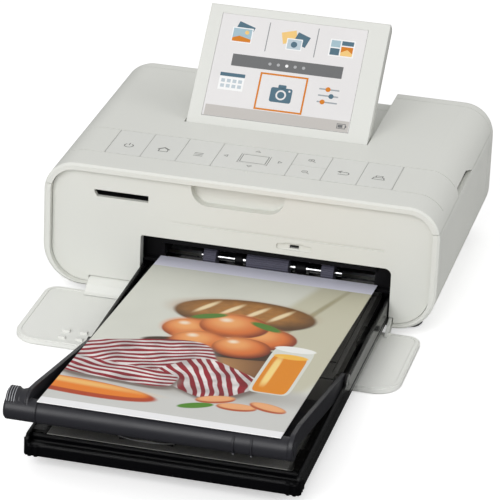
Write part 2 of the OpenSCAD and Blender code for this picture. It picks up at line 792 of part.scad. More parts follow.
module screen_frame() placed() color([0.88, 0.88, 0.86]) {
    on_screen() difference() {
        along_x(-screen_w / 2, screen_w / 2) {
            circle(half_t);
            rect(0, screen_l - 0.8, 0, half_t);
            rect(screen_l - 1, screen_l, 0, half_t - 0.8);
            translate([screen_l - 0.8, half_t - 0.8]) circle(0.8);
        }
        up_z(-1, half_t + 1) view_rect(0);
        up_z(-0.5, half_t - bezel_t) view_rect(panel_m);
        up_z(-0.5, 0.6) rect(6 - screen_w / 2, screen_w / 2 - 6, 4.4, screen_l - 2.4);
        for (s = [-1, 1]) rod(s * screen_w / 2 - 3.4, s * screen_w / 2 + 3.4, 0, 0,
            screen_pin_r + run_fit);
    }
}

module screen_back() placed() color([0.86, 0.86, 0.84]) {
    on_screen() difference() {
        along_x(-screen_w / 2, screen_w / 2) {
            rect(half_t + 0.5, screen_l, 0.8 - half_t, 0);
            rect(half_t + 1.3, screen_l - 0.8, -half_t, 0);
        }
        up_z(1.4 - half_t, 1) rect(3 - screen_w / 2, screen_w / 2 - 3, half_t + 3, screen_l - 2.4);
        // grip at the free edge
        up_z(-half_t - 1, 0.7 - half_t) rrect(-14, 14, screen_l - 6.4, screen_l - 2.6, 1.8);
    }
}

module display_panel() placed() color([0.92, 0.93, 0.95]) {
    on_screen() up_z(0.7, half_t - bezel_t - 0.02) view_rect(panel_m - 0.1);
}

module screen_hinge_pins() placed() color([0.7, 0.7, 0.72]) {
    for (s = [-1, 1]) {
        a = s * (screen_w / 2 - 3.2);
        b = s * (well_x + well_t);
        rod(min(a, b), max(a, b), screen_y, screen_z, screen_pin_r);
    }
}

// a key: cap flush with the casing and a stem over its switch
module key(x0, x1, y0, y1) {
    g = key_gap / 2;
    up_z(body_h - key_t, body_h) rrect(x0 + g, x1 - g, y0 + g, y1 - g, 0.5);
    translate([(x0 + x1) / 2, (y0 + y1) / 2, stem_z])
        cylinder(h = body_h - key_t - stem_z + 0.1, r = 2);
}

module power_button() placed() color(key_tone) key(keys_x0, keys_x0 + key_w, keys_y0, keys_y1);
module home_button() placed() color(key_tone)
    key(keys_x0 + key_w, keys_x0 + 2 * key_w, keys_y0, keys_y1);
module menu_button() placed() color(key_tone)
    key(keys_x0 + 2 * key_w, pad_x0, keys_y0, keys_y1);
module zoom_in_button() placed() color(key_tone)
    key(pad_x1, pad_x1 + key_w, pad_cy, keys_y1);
module zoom_out_button() placed() color(key_tone)
    key(pad_x1, pad_x1 + key_w, keys_y0, pad_cy);
module back_button() placed() color(key_tone)
    key(pad_x1 + key_w, pad_x1 + 2 * key_w, keys_y0, keys_y1);
module print_button() placed() color(key_tone)
    key(pad_x1 + 2 * key_w, keys_x1, keys_y0, keys_y1);

module direction_pad() placed() color(key_tone) {
    g = key_gap / 2;
    difference() {
        up_z(body_h - key_t, body_h) rrect(pad_x0 + g, pad_x1 - g, keys_y0 + g, keys_y1 - g, 0.5);
        box(pad_cx - ok_w / 2 - g, pad_cx + ok_w / 2 + g, pad_cy - ok_l / 2 - g,
            pad_cy + ok_l / 2 + g, body_h - 5, body_h + 1);
    }
    for (s = [-1, 1]) {
        translate([pad_cx + s * 12, pad_cy, stem_z]) cylinder(h = body_h - key_t - stem_z + 0.1, r = 2);
        translate([pad_cx, pad_cy + s * 9.5, stem_z])
            cylinder(h = body_h - key_t - stem_z + 0.1, r = 2);
    }
}

module ok_button() placed() color(key_tone) {
    key(pad_cx - ok_w / 2, pad_cx + ok_w / 2, pad_cy - ok_l / 2, pad_cy + ok_l / 2);
}

module key_mat() placed() color([0.3, 0.3, 0.32]) {
    box(keys_x0, keys_x1, keys_y0, keys_y1, mat_z, mat_z + 0.4);
    for (p = key_spots) translate([p[0], p[1], mat_z + 0.3]) cylinder(h = dome_h - 0.3, r = 2.6);
}

module key_board() placed() color([0.1, 0.35, 0.2]) {
    box(keys_x0 - 7, keys_x1 + 7, keys_y0 - 2, keys_y1 + 3, mat_z - board_t, mat_z);
}

module main_board() placed() color([0.1, 0.35, 0.2]) {
    box(14.3 - half_w, half_w - 28.3, panel_back + 4.4, board_y1, main_z, main_z + board_t);
    box(-20, 4, 16, 40, main_z + board_t, main_z + board_t + 1.4);
    box(20, 34, 20, 34, main_z + board_t, main_z + board_t + 1.2);
    for (k = [0 : 3]) translate([-48 + 7 * k, 50, main_z + board_t]) cylinder(h = 1.4, r = 2.4);
}

module card_socket() placed() color([0.16, 0.16, 0.17]) {
    difference() {
        box(card_x0 - 2, card_x0 + card_w + 2, panel_back + 0.05, panel_back + 27,
            card_z1 - card_h - 1.3, main_z);
        along_y(panel_back - 1, panel_back + 24) card_outline(0.1);
        box(-90, 90, panel_back - 1, panel_back + 4.2, card_z1 + 0.9, main_z + 1);
    }
}

module usb_socket() placed() color([0.72, 0.72, 0.74]) {
    x0 = 1.2 - half_w;
    y1 = usb_y0 + usb_l;
    z1 = usb_z0 + usb_h;
    difference() {
        box(x0, usb_x1, usb_y0, y1, usb_z0, z1);
        box(x0 - 1, usb_x1 - 4, usb_y0 + 0.8, y1 - 0.8, usb_z0 + 0.8, z1 - 0.8);
    }
    box(x0 + 0.8, usb_x1 - 3.9, usb_y0 + 1.5, y1 - 1.5, usb_z0 + 2.6, usb_z0 + 4.4);
}

module power_inlet() placed() color([0.13, 0.13, 0.14]) {
    y0 = rear_y - 6;
    y1 = body_d - wall;
    difference() {
        box(inlet_x - 5, inlet_x + 5, y0, y1, inlet_z - 5, inlet_z + 5);
        rod_y(inlet_x, inlet_z, y0 + 3, body_d + 1, inlet_r);
    }
    rod_y(inlet_x, inlet_z, y0 + 2, y1 - 2.5, 0.9);
}

// side view of a sheet metal cheek
module cheek(window) {
    difference() {
        rect(chassis_y0, chassis_y1, floor_z, main_z);
        translate([feed_y, feed_z]) circle(drive_r + run_fit);
        translate([platen_y, platen_z]) circle(drive_r + run_fit);
        translate([feed_y, pinch_z]) circle(shaft_r + run_fit);
        translate([head_pivot_y, head_pivot_z]) circle(head_rod_r);
        if (window) rect(supply_y - spool_tube_r - 0.8, takeup_y + spool_tube_r + 0.8,
            spool_z - spool_tube_r - 0.3, spool_z + 10);
        rect(board_y1 + 1, chassis_y1 + 1, main_z - 1.4, main_z + 1);
    }
}

module chassis() placed() color([0.62, 0.63, 0.65]) {
    along_x(chassis_x0, chassis_x0 + plate_t) cheek(false);
    along_x(chassis_x1 - plate_t, chassis_x1) cheek(true);
    box(chassis_x0, chassis_x1, feed_y - 2, chassis_y1, floor_z, floor_z + plate_t);
    box(chassis_x0, chassis_x1, feed_y - 2, board_y1 + 1, main_z - plate_t, main_z);
    for (z = [[floor_z, path_z - 4], [path_z + 5, path_z + 12]])
        box(chassis_x0, chassis_x1, chassis_y1 - plate_t, chassis_y1, z[0], z[1]);
    // ledges on which the ink cassette slides in
    ledge_z = spool_z - spool_tube_r - 0.3;
    for (y = [supply_y, takeup_y], x = [[chassis_x0 + plate_t - 0.1, ink_x0 + 3],
        [ink_x1 - 2, chassis_x1 - plate_t + 0.1]])
        box(x[0], x[1], y - 4, y + 4, ledge_z - plate_t, ledge_z);
    // stud of the idler and posts of the motor
    rod(gear_x0 - 0.4, chassis_x0 + 0.1, idler_y, idler_z, shaft_r);
    for (s = [-1, 1]) rod(gear_x0 - 1.4, chassis_x0 + 0.1, idler_y + 7 * s, pinion_z + 6, 1.5);
}

module bay_liner() placed() color([0.09, 0.09, 0.1]) {
    y0 = return_y + 0.1;
    y1 = feed_y - 4;
    difference() {
        union() {
            along_y(y0, y1) difference() {
                bay_outline(return_t);
                bay_outline(0);
                rect(-half_w, half_w, 0, floor_z);
            }
            // side blocks above the cassette carry the rod of the pick-up arm
            box(bay_x0 - 0.2, bay_x0 + 9, y0 + 4.2, y1, far_top + 1.8, bay_top + 0.2);
            box(bay_x1 - 9, bay_x1 + 0.2, y0 + 4.2, y1, far_top + 1.8, bay_top + 0.2);
            // hanging wall in front of the rollers, with a rounded lower edge
            box(bay_x0 + 8, bay_x1 - 8, y0 + 2.6, y0 + 4.4, 26.4, bay_top + 0.2);
            rod(bay_x0 + 8, bay_x1 - 8, y0 + 3.5, 26.4, 0.9);
        }
        rod(bay_x0 + 2, bay_x1 - 2, arm_y, arm_z, arm_rod_r);
    }
}

// ledges under the far corners of the print
module print_rests() placed() color([0.09, 0.09, 0.1]) {
    y0 = return_y + 0.7;
    for (x = [[bay_x0, paper_x0 + 3], [paper_x0 + paper_w - 3, bay_x1]])
        box(x[0], x[1], y0, y0 + 4, far_top + 0.5, print_z1 - 0.3);
}

module arm_rod() placed() color([0.75, 0.75, 0.77]) {
    rod(bay_x0 + 2.2, bay_x1 - 2.2, arm_y, arm_z, arm_rod_r);
}

// side view of one arm from the rod down to the roller shaft
module arm_outline() {
    a = atan2(pick_z - arm_z, pick_y - arm_y);
    l = norm([pick_y - arm_y, pick_z - arm_z]);
    difference() {
        union() {
            translate([arm_y, arm_z]) circle(3.6);
            translate([pick_y, pick_z]) circle(2.9);
            translate([arm_y, arm_z]) rotate(a) rect(0, l, -2.4, 2.4);
        }
        translate([arm_y, arm_z]) circle(arm_rod_r + run_fit);
        translate([pick_y, pick_z]) circle(shaft_r + run_fit);
    }
}

module pickup_arm() placed() color([0.12, 0.12, 0.13]) {
    along_x(-5.2, -1.8) arm_outline();
    along_x(23, 27.4) arm_outline();
    along_x(-5.2, 27.4) difference() {
        translate([arm_y, arm_z]) circle(3.6);
        translate([arm_y, arm_z]) circle(arm_rod_r + run_fit);
    }
}

module pickup_shaft() placed() color([0.82, 0.82, 0.84]) {
    rod(-21, 43.9, pick_y, pick_z, shaft_r);
    // collars beside the arms
    for (x = [-1.5, 21.4, 27.7]) rod(x, x + 1.2, pick_y, pick_z, 2.3);
}

// one ribbed roller
module ribbed(x0, x1) {
    along_x(x0, x1) difference() {
        translate([pick_y, pick_z]) circle(pick_r);
        translate([pick_y, pick_z]) circle(shaft_r);
        for (k = [0 : 23]) translate([pick_y, pick_z]) rotate(k * 15) translate([pick_r + 0.1, 0])
            circle(0.34);
    }
}

module pickup_rollers() placed() color([0.3, 0.3, 0.34]) {
    ribbed(-19.6, -13.8);
    ribbed(0.4, 19.8);
    ribbed(34.9, 40.6);
}

module feed_roller() placed() color([0.6, 0.6, 0.62]) {
    rod(gear_x0 - 0.6, chassis_x1 + 0.8, feed_y, feed_z, drive_r);
    rod(paper_x0 - 2, paper_x0 + paper_w + 2, feed_y, feed_z, feed_r);
}

module pinch_roller() placed() color([0.25, 0.25, 0.27]) {
    rod(chassis_x0 - 0.6, chassis_x1 + 0.6, feed_y, pinch_z, shaft_r);
    for (k = [0 : 3]) rod(paper_x0 + 3 + 26 * k, paper_x0 + 19 + 26 * k, feed_y, pinch_z, pinch_r);
}

module platen_roller() placed() color([0.16, 0.16, 0.17]) {
    rod(gear_x0 - 0.6, chassis_x1 + 0.8, platen_y, platen_z, drive_r);
    rod(paper_x0 - 3, paper_x0 + paper_w + 3, platen_y, platen_z, platen_r);
}

// gear seen along its axis: n teeth, the first at angle a
module gear(n, a, bore) {
    r = gear_m * n / 2;
    foot = 360 / n * 0.26;
    tip = 360 / n * 0.12;
    r0 = r - gear_m * 1.15;
    r1 = r + gear_m * 0.85;
    difference() {
        union() {
            circle(r0);
            for (k = [0 : n - 1]) rotate(a + k * 360 / n) polygon([
                [(r0 - 0.3) * cos(foot), -(r0 - 0.3) * sin(foot)], [r1 * cos(tip), -r1 * sin(tip)],
                [r1 * cos(tip), r1 * sin(tip)], [(r0 - 0.3) * cos(foot), (r0 - 0.3) * sin(foot)]]);
        }
        circle(bore);
    }
}

// angle of the first tooth of a gear that meshes with the idler in direction t
function mesh(t, n) = t + 180 + t * idler_n / n + 180 / n;

module feed_gear() placed() color([0.85, 0.85, 0.8]) {
    along_x(gear_x0, gear_x0 + gear_w) translate([feed_y, feed_z])
        gear(feed_n, mesh(feed_dir, feed_n), drive_r);
}

module platen_gear() placed() color([0.85, 0.85, 0.8]) {
    along_x(gear_x0, gear_x0 + gear_w) translate([platen_y, platen_z])
        gear(feed_n, mesh(platen_dir, feed_n), drive_r);
}

module idler_gear() placed() color([0.8, 0.8, 0.76]) {
    along_x(gear_x0, gear_x0 + gear_w) translate([idler_y, idler_z])
        gear(idler_n, 0, shaft_r + run_fit);
}

module motor_pinion() placed() color([0.78, 0.68, 0.4]) {
    along_x(gear_x0, gear_x0 + gear_w) translate([idler_y, pinion_z])
        gear(pinion_n, mesh(90, pinion_n), 1);
    rod(gear_x0 - 4, gear_x0 + gear_w + 0.3, idler_y, pinion_z, 1);
}

module feed_motor() placed() color([0.6, 0.6, 0.62]) {
    difference() {
        union() {
            rod(motor_x, gear_x0 - 1.4, idler_y, pinion_z, motor_r);
            rod(motor_x - 2, motor_x + 0.1, idler_y, pinion_z, 4);
        }
        rod(gear_x0 - 4.4, gear_x0, idler_y, pinion_z, 1 + run_fit);
    }
}

module head_rod() placed() color([0.75, 0.75, 0.77]) {
    rod(chassis_x0 - 0.6, chassis_x1 + 0.6, head_pivot_y, head_pivot_z, head_rod_r);
}

module print_head() placed() color([0.75, 0.73, 0.68]) {
    box(paper_x0 - 2, paper_x0 + paper_w + 2, head_y - 5, head_y + 5, head_z0 + 1.2, head_z1);
    rod(paper_x0, paper_x0 + paper_w, head_y, head_z0 + 1.2, 1);
}

module heat_sink() placed() color([0.7, 0.7, 0.72]) {
    x0 = paper_x0 + 1;
    x1 = paper_x0 + paper_w - 1;
    difference() {
        box(x0, x1, head_y - 6, head_y + 6, head_z1, sink_z1);
        for (k = [0 : 11]) box(x0 + 5 + 7.8 * k, x0 + 9 + 7.8 * k, head_y - 7, head_y + 7,
            head_z1 + 3, sink_z1 - 2);
    }
}

// plate that carries the heat sink and swings on the rod behind it
module head_lever() placed() color([0.75, 0.75, 0.77]) {
    x0 = paper_x0 + 1;
    x1 = paper_x0 + paper_w - 1;
    difference() {
        union() {
            box(x0, x1, head_y - 6, head_pivot_y, sink_z1, sink_z1 + 2);
            rod(x0, x1, head_pivot_y, head_pivot_z, 3);
        }
        rod(x0 - 1, x1 + 1, head_pivot_y, head_pivot_z, head_rod_r + run_fit);
    }
}

module ink_cassette_shell() placed() color([0.3, 0.3, 0.32]) {
    difference() {
        union() {
            for (y = [supply_y, takeup_y]) rod(ink_x0, ink_x1, y, spool_z, spool_tube_r);
            for (x = [ink_x0 - ink_end_t, ink_x1]) box(x, x + ink_end_t, supply_y - 7.5,
                takeup_y + 7.5, spool_z - 8, spool_z + 9);
            // handle towards the ink door
            box(ink_x1 + ink_end_t - 0.1, ink_x1 + 11, head_y - 12, head_y + 12, spool_z - 5,
                spool_z - 1);
            box(ink_x1 + 9, ink_x1 + 11, head_y - 12, head_y + 12, spool_z - 5, spool_z + 7);
        }
        for (y = [supply_y, takeup_y]) {
            rod(ink_x0, ink_x1, y, spool_z, spool_tube_r - spool_tube_t);
            rod(ink_x0 - 3, ink_x1 + 3, y, spool_z, journal_r + run_fit);
        }
        // slots through which the ribbon leaves each tube
        box(ink_x0 + 0.01, ink_x1 - 0.01, supply_y + 1.5, supply_y + 9, spool_z - 9, spool_z);
        box(ink_x0 + 0.01, ink_x1 - 0.01, takeup_y - 9, takeup_y - 1.5, spool_z - 9, spool_z);
    }
}

module spool(y) {
    rod(ink_x0 - 1.8, ink_x1 + 1.8, y, spool_z, journal_r);
    rod(ink_x0 + 2, ink_x1 - 2, y, spool_z, 4);
    for (x = [ink_x0 + 1, ink_x1 - 2.2]) rod(x, x + 1.2, y, spool_z, roll_r + 0.3);
}

module supply_spool() placed() color([0.75, 0.2, 0.2]) {
    spool(supply_y);
    rod(paper_x0, paper_x0 + paper_w, supply_y, spool_z, roll_r);
}

module takeup_spool() placed() color([0.85, 0.85, 0.83]) {
    spool(takeup_y);
    rod(paper_x0, paper_x0 + paper_w, takeup_y, spool_z, roll_r - 1.4);
}

module ink_ribbon() placed() color([0.75, 0.3, 0.55]) {
    ax = supply_y + roll_r * 0.72;
    bx = takeup_y - (roll_r - 1.4) * 0.72;
    az = spool_z - roll_r * 0.72;
    bz = spool_z - (roll_r - 1.4) * 0.72;
    t = 0.2;
    along_x(paper_x0, paper_x0 + paper_w) polygon([[ax + 0.3, az - 0.3], [head_y - 6.5, web_z],
        [head_y + 6.5, web_z], [bx - 0.3, bz - 0.3], [bx - 0.3 - t, bz - 0.3],
        [head_y + 6.4, web_z + t], [head_y - 6.4, web_z + t], [ax + 0.3 + t, az - 0.3]]);
}

module cassette_base() placed() color([0.1, 0.1, 0.12]) {
    y0 = tray_y0;
    x0 = tray_x0;
    x1 = tray_x1;
    difference() {
        union() {
            box(x0, x1, y0, tray_y1, tray_z, tray_z + tray_floor);
            // side walls, low in front of the lid's hinge and high behind it
            for (x = [x0, x1 - tray_wall]) {
                along_x(x, x + tray_wall) {
                    rect(y0 + 3, lid_y - lid_boss_r, tray_z, near_top);
                    rect(y0, y0 + 4, tray_z, near_top - 3);
                    translate([y0 + 3, near_top - 3]) circle(3);
                    rect(lid_y - lid_boss_r - 0.1, tray_y1, tray_z, far_top);
                    translate([lid_y, lid_z]) circle(lid_boss_r);
                }
            }
            // stepped front wall
            box(x0, x1, y0, y0 + 2.6, tray_z, 11.6);
            box(x0, x1, y0 + 2.5, y0 + 5.6, tray_z, 9.8);
            box(x0, x1, y0 + 5.4, y0 + 6.6, tray_z, 13.5);
            // sloped far wall that parts the sheets
            along_x(x0, x1) polygon([[tray_y1, tray_z], [tray_y1, stack_top + 0.2],
                [tray_y1 - 0.8, stack_top + 0.2],
                [stack_y1 + 0.5, tray_z + tray_floor], [stack_y1 + 0.5, tray_z]]);
            // grip ribs at both front corners
            for (s = [-1, 1], k = [0 : 2])
                translate([s > 0 ? x1 - 0.5 : x0 + 0.3, y0 + 1.6 + 2.6 * k, tray_z])
                    cylinder(h = 7 - 1.2 * k, r = 1.1);
            for (s = [-1, 1], k = [0 : 1])
                translate([s > 0 ? x1 - 2 - 2.6 * k : x0 + 2 + 2.6 * k, y0, tray_z])
                    cylinder(h = 5.4, r = 0.9);
            // side guides of the paper
            box(x0, paper_x0 - 0.6, y0 + 20, y0 + 28, tray_z, 12.5);
            box(paper_x0 + paper_w + 0.6, x1, y0 + 20, y0 + 28, tray_z, 12.5);
            box(x0, paper_x0 - 0.6, -34, -18, tray_z, 12.5);
            box(paper_x0 + paper_w + 0.6, x1, -34, -18, tray_z, 12.5);
        }
        // long grooves in both sides
        for (x = [x0 - 1, x1 - 0.4]) {
            box(x, x + 1.4, y0 + 10, tray_y1 - 8, tray_z + 2.4, tray_z + 3.2);
            box(x, x + 1.4, y0 + 10, lid_y - 8, tray_z + 5.6, tray_z + 6.4);
        }
        rod(x0 - 1, x1 + 1, lid_y, lid_z, lid_pin_r);
    }
}

module cassette_front_cover() placed() color([0.3, 0.28, 0.27, 0.8]) {
    z0 = near_top - 1.5;
    z1 = near_top - 0.3;
    y0 = tray_y0 + 6.8;
    difference() {
        union() {
            box(tray_x0 + tray_wall + 0.05, tray_x1 - tray_wall - 0.05, y0, lid_y - 28, z0, z1);
            box(lug_x0, lug_x1, lid_y - 28.1, lid_y - lug_r - 0.3, z0, z1);
            box(lug_x0 + lug_w + 0.3, lug_x1 - lug_w - 0.3, lid_y - lug_r - 0.4, lid_y + 1.7, z0, z1);
            // raised ring round the grip slot
            up_z(z1 - 0.1, z1 + 0.4) lens(grip_x, y0 + grip_s, 25, 5.6);
        }
        up_z(z0 - 1, z1 + 1) lens(grip_x, y0 + grip_s, 22.6, 4.2);
    }
    // feet that stand on the paper guides
    for (x = [tray_x0 + 2.4, tray_x1 - 4.4]) box(x, x + 2, tray_y0 + 22, tray_y0 + 26, 12.5, z0 + 0.1);
}

module cassette_inner_lid() placed() color([0.3, 0.3, 0.31, 0.7]) {
    z0 = near_top - 1.2;
    z1 = near_top;
    y1 = 6;
    difference() {
        union() {
            box(lug_x0, lug_x1, lid_y + 2, y1, z0, z1);
            // rails along both sides
            for (x = [lug_x0, lug_x1 - 4.4]) box(x, x + 4.4, lid_y + 6, y1, z1 - 0.1, far_top);
            // hinge lugs
            for (x = [lug_x0, lug_x1 - lug_w]) along_x(x, x + lug_w) {
                translate([lid_y, lid_z]) circle(lug_r);
                rect(lid_y, lid_y + 4, z0, lid_z + 1.6);
            }
            for (y = [-30, -12]) box(lug_x0 + 8, lug_x1 - 8, y, y + 1.4, z1 - 0.1, z1 + 0.5);
        }
        rod(lug_x0 - 1, lug_x1 + 1, lid_y, lid_z, lid_pin_r + run_fit);
        for (x = [lug_x0 + 5.4, lug_x1 - 16.4]) box(x, x + 11, -62.6, -61.6, z0 - 1, z1 + 1);
    }
}

// the folded-back lid is drawn level, s from its hinge to its free end, and then raised
module on_lid() {
    translate([0, lid_y, lid_z]) rotate([-lid_rise, 0, 0]) children();
}

module cassette_outer_lid() placed() color([0.26, 0.26, 0.29]) {
    on_lid() difference() {
        union() {
            // side wings, each with a round end at the bar
            for (w = [[wing_x0, left_top, left_end], [wing_x1 - wing_t, lid_boss_r, right_end]])
                along_x(w[0], w[0] + wing_t) {
                    circle(lid_boss_r);
                    translate([w[2][0], w[2][1]]) circle(w[2][2]);
                    // the upper edge rises a little behind the hinge and dips before the bar
                    polygon([[0, -lid_boss_r], [0, lid_boss_r], [-6, w[1] - 0.2], [-20, w[1]],
                        [-60, w[1] - 0.2], [-bar_s + 10, w[1] - 0.2], [w[2][0], w[2][1] + w[2][2]],
                        [w[2][0], bar_t - 1], [-bar_s, -lid_boss_r]]);
                }
            // floor of the lid
            box(wing_x0, wing_x1, -bar_s, -24, -lid_boss_r, 1.4 - lid_boss_r);
            for (k = [0 : 2]) box(wing_x0 + 14 + 42 * k, wing_x0 + 15.4 + 42 * k, -bar_s, -30,
                1.3 - lid_boss_r, 2.6 - lid_boss_r);
            // round bar at the free end, both ends eased
            turned(-bar_s, bar_t, [[0, bar_x0], [bar_r - 0.7, bar_x0], [bar_r, bar_x0 + 0.8],
                [bar_r, wing_x1 - 2.4], [bar_r - 0.5, wing_x1 - 1], [bar_r - 2, wing_x1 + 0.3],
                [0, wing_x1 + 0.3]]);
            // grip beside the left wing: a finely ribbed end, a waist and a flare up to the wing
            turned(grip_y, grip_z, [[0, bar_x0 + 0.3], [rib_r - 1, bar_x0 + 0.3], each
                [for (k = [0 : 3], p = [[0, 0], [0, 0.5], [-0.3, 0.55], [-0.3, 0.9]])
                    [rib_r + p[0], bar_x0 + 0.9 + k + p[1]]],
                [waist_r, bar_x0 + 5.6], [waist_r, bar_x0 + 6.2], [waist_r + 1, wing_x0 + 0.8],
                [0, wing_x0 + 0.8]]);
            // two thin locating rings on the bar
            for (x = [42.8, 50.2]) rod(x, x + 0.7, -bar_s - 0.2, bar_t - 0.4, bar_r + 0.25);
        }
        rod(wing_x0 - 1, wing_x1 + 1, 0, 0, lid_pin_r + run_fit);
        // joint line near the left end of the bar
        along_x(-38.2, -37.8) difference() {
            translate([-bar_s, bar_t]) circle(bar_r + 1);
            translate([-bar_s, bar_t]) circle(bar_r - 0.3);
            rect(-bar_s + 1, 0, -20, 20);
        }
    }
}

module lid_hinge_pins() placed() color([0.55, 0.55, 0.57]) {
    rod(tray_x0 + 0.1, lug_x0 + lug_w, lid_y, lid_z, lid_pin_r);
    rod(lug_x1 - lug_w, tray_x1 - 0.1, lid_y, lid_z, lid_pin_r);
}

module paper_stack() placed() color([0.95, 0.95, 0.94]) {
    box(paper_x0, paper_x0 + paper_w, stack_y1 - paper_l, stack_y1, stack_z - 0.3,
        stack_z + stack_h - 0.3);
}

module print_sheet() placed() color([0.93, 0.92, 0.88]) {
    translate([0, print_y1, print_z1]) rotate([-print_tilt, 0, 0])
        box(paper_x0, paper_x0 + paper_w, -paper_l - 2, 0, 0, print_t);
}

top_cover();
front_panel();
bottom_case();
rear_cover();
rubber_feet();
rear_screws();
door_pins();
front_door();
door_hinge_arms();
latch_catch();
ink_door();
screen_frame();
screen_back();
display_panel();
screen_hinge_pins();
power_button();
home_button();
menu_button();
direction_pad();
ok_button();
zoom_in_button();
zoom_out_button();
back_button();
print_button();
key_mat();
key_board();
main_board();
card_socket();
usb_socket();
power_inlet();
chassis();
bay_liner();
print_rests();
arm_rod();
pickup_arm();
pickup_shaft();
pickup_rollers();
feed_roller();
feed_gear();
pinch_roller();
platen_roller();
platen_gear();
idler_gear();
motor_pinion();
feed_motor();
head_rod();
print_head();
heat_sink();
head_lever();
ink_cassette_shell();
supply_spool();
takeup_spool();
ink_ribbon();
cassette_base();
cassette_front_cover();
cassette_inner_lid();
cassette_outer_lid();
lid_hinge_pins();
paper_stack();
print_sheet();
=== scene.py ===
import math

import bpy
from bpy.props import FloatProperty, FloatVectorProperty, PointerProperty
from mathutils import Matrix, Vector


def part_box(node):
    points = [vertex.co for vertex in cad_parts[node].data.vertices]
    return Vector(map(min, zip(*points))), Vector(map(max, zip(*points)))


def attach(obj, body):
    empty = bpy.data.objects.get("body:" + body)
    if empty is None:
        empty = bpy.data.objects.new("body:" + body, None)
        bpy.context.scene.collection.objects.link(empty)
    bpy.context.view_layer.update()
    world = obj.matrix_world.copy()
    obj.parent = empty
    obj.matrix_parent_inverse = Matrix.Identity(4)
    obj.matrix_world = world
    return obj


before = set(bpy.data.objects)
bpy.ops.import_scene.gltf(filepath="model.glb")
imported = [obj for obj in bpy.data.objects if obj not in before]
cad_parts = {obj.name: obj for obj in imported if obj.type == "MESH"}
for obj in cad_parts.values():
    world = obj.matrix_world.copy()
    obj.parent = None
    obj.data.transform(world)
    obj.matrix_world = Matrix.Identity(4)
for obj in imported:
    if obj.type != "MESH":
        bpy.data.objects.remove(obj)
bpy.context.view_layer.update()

bl_info = {
    "name": "Compact photo printer",
    "version": (1, 0, 0),
    "blender": (4, 5, 0),
    "location": "3D View > Sidebar > Photo printer",
    "description": "Dresses the packed printer in its plastics, its picture and its studio",
    "category": "Object",
}

MM = 0.001
# front plane of the casing; heights count from the table and widths from the middle
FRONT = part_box("top_cover")[0][1]
# hinge line of the raised screen, back from the front plane and up from the table, in mm
SCREEN_BACK, SCREEN_UP = 69.0, 60.0
# front face of the screen out from its middle plane, in mm, and its lean
SCREEN_FACE = 3.3
SCREEN_TILT = math.radians(47.0)
# the display's page lies this deep below that face, and its layers this far apart, in mm
PAGE_DROP, PAGE_STEP = 0.07, 0.012
# printed symbols of the keys stand this far above the key tops
INK_LIFT = 0.02 * MM
# middle of the symbols in front of the middle of the large keys, in mm
SYMBOL_Y = -3.0
# lips in the gaps between the keys: below the key tops, clear of the keys, their width and height
LIP_DROP, LIP_CLEAR, LIP_W, LIP_DEEP = 0.1 * MM, 0.04 * MM, 0.36 * MM, 1.2 * MM
# axis of the ribbed grip on the folded lid, and the radius just outside its ribs
GRIP_Y, GRIP_Z, GRIP_R = FRONT - 170.96 * MM, 31.45 * MM, 5.86 * MM
# ribs of the grip: how many, the first one's place in from the lid's left end, pitch and width
RIB_N, RIB_IN, RIB_PITCH, RIB_W = 4, 0.98 * MM, 1.0 * MM, 0.34 * MM
# axis of the two rings on the lid's bar, and the radius just outside them
RING_Y, RING_Z, RING_R = FRONT - 173.73 * MM, 28.84 * MM, 5.08 * MM
# left edges of the two rings, and their width
RING_X, RING_W = (42.8 * MM, 50.2 * MM), 0.7 * MM
# middle of the slot in the near cover, across and back from the cover's near edge
SLOT_X, SLOT_IN = 2.5 * MM, 4.2 * MM
# half length and half width of its raised rim, outside and inside, in mm, and the trim's lift
SLOT_OUT, SLOT_HOLE = (12.4, 2.75), (11.2, 2.05)
SLOT_LIFT = 0.03 * MM
# length of the print, and along it the end of the near margin and the start of the strip, in mm
PRINT_L, MARGIN_END, STRIP_START = 188.0, 6.0, 175.0
# camera of the photograph: place in mm from the casing's front plane, angles, focal length
CAMERA_AT = (302.4, -1286.6, 619.2)
YAW, PITCH, ROLL = math.radians(-12.99), math.radians(23.94), math.radians(2.5)
LENS, SENSOR_W = 234.4, 36.0
# half width of the floor, places of the two lamps, their widths, and the point that both face
FLOOR_R = 6.0
MAIN_AT, MAIN_W = (-0.3, -1.35, 0.85), 1.0
SIDE_AT, SIDE_W = (1.3, 0.3, 0.9), 0.8
LAMP_TARGET = (0.0, 0.0, 0.03)


def linear(code):
    """Turns an sRGB hex colour such as 'DADBD5' into the linear values that shaders use."""
    parts = [int(code[i:i + 2], 16) / 255.0 for i in (0, 2, 4)]
    return tuple(c / 12.92 if c <= 0.04045 else ((c + 0.055) / 1.055) ** 2.4 for c in parts)


def at(x, y, z):
    """A place in millimetres from the casing's front plane, as metres in the shared frame."""
    return Vector((x * MM, FRONT + y * MM, z * MM))


def on_screen(u, v, w):
    """A place on the raised screen: across, up from its hinge, and out from its middle plane."""
    c, s = math.cos(SCREEN_TILT), math.sin(SCREEN_TILT)
    return at(u, SCREEN_BACK + v * c - w * s, SCREEN_UP + v * s + w * c)


def colour(title, code, about):
    """A colour that the user may change, with its sRGB hex value as default."""
    return FloatVectorProperty(name=title, description=about, subtype="COLOR", size=3,
                               min=0.0, max=1.0, default=linear(code))


class CasingLooks(bpy.types.PropertyGroup):
    """Colours and grain of the white plastics."""
    shell: colour("Casing", "E3E4DE", "Colour of the textured covers and doors")
    # painted light: the door's colour is set lighter than the casing's to make up for the casing's
    # shade on the door
    door: colour("Front door", "F0F1EC", "Colour of the smooth inner side of the front door")
    smooth: colour("Smooth parts", "E2E3DE", "Colour of the keys and the screen frame")
    legend: colour("Symbols", "7E7F7B", "Colour of the printed key symbols")
    grain: FloatProperty(name="Grain", description="Size of the moulded grain", default=0.55 * MM,
                         min=0.1 * MM, max=3 * MM, unit="LENGTH", precision=5)


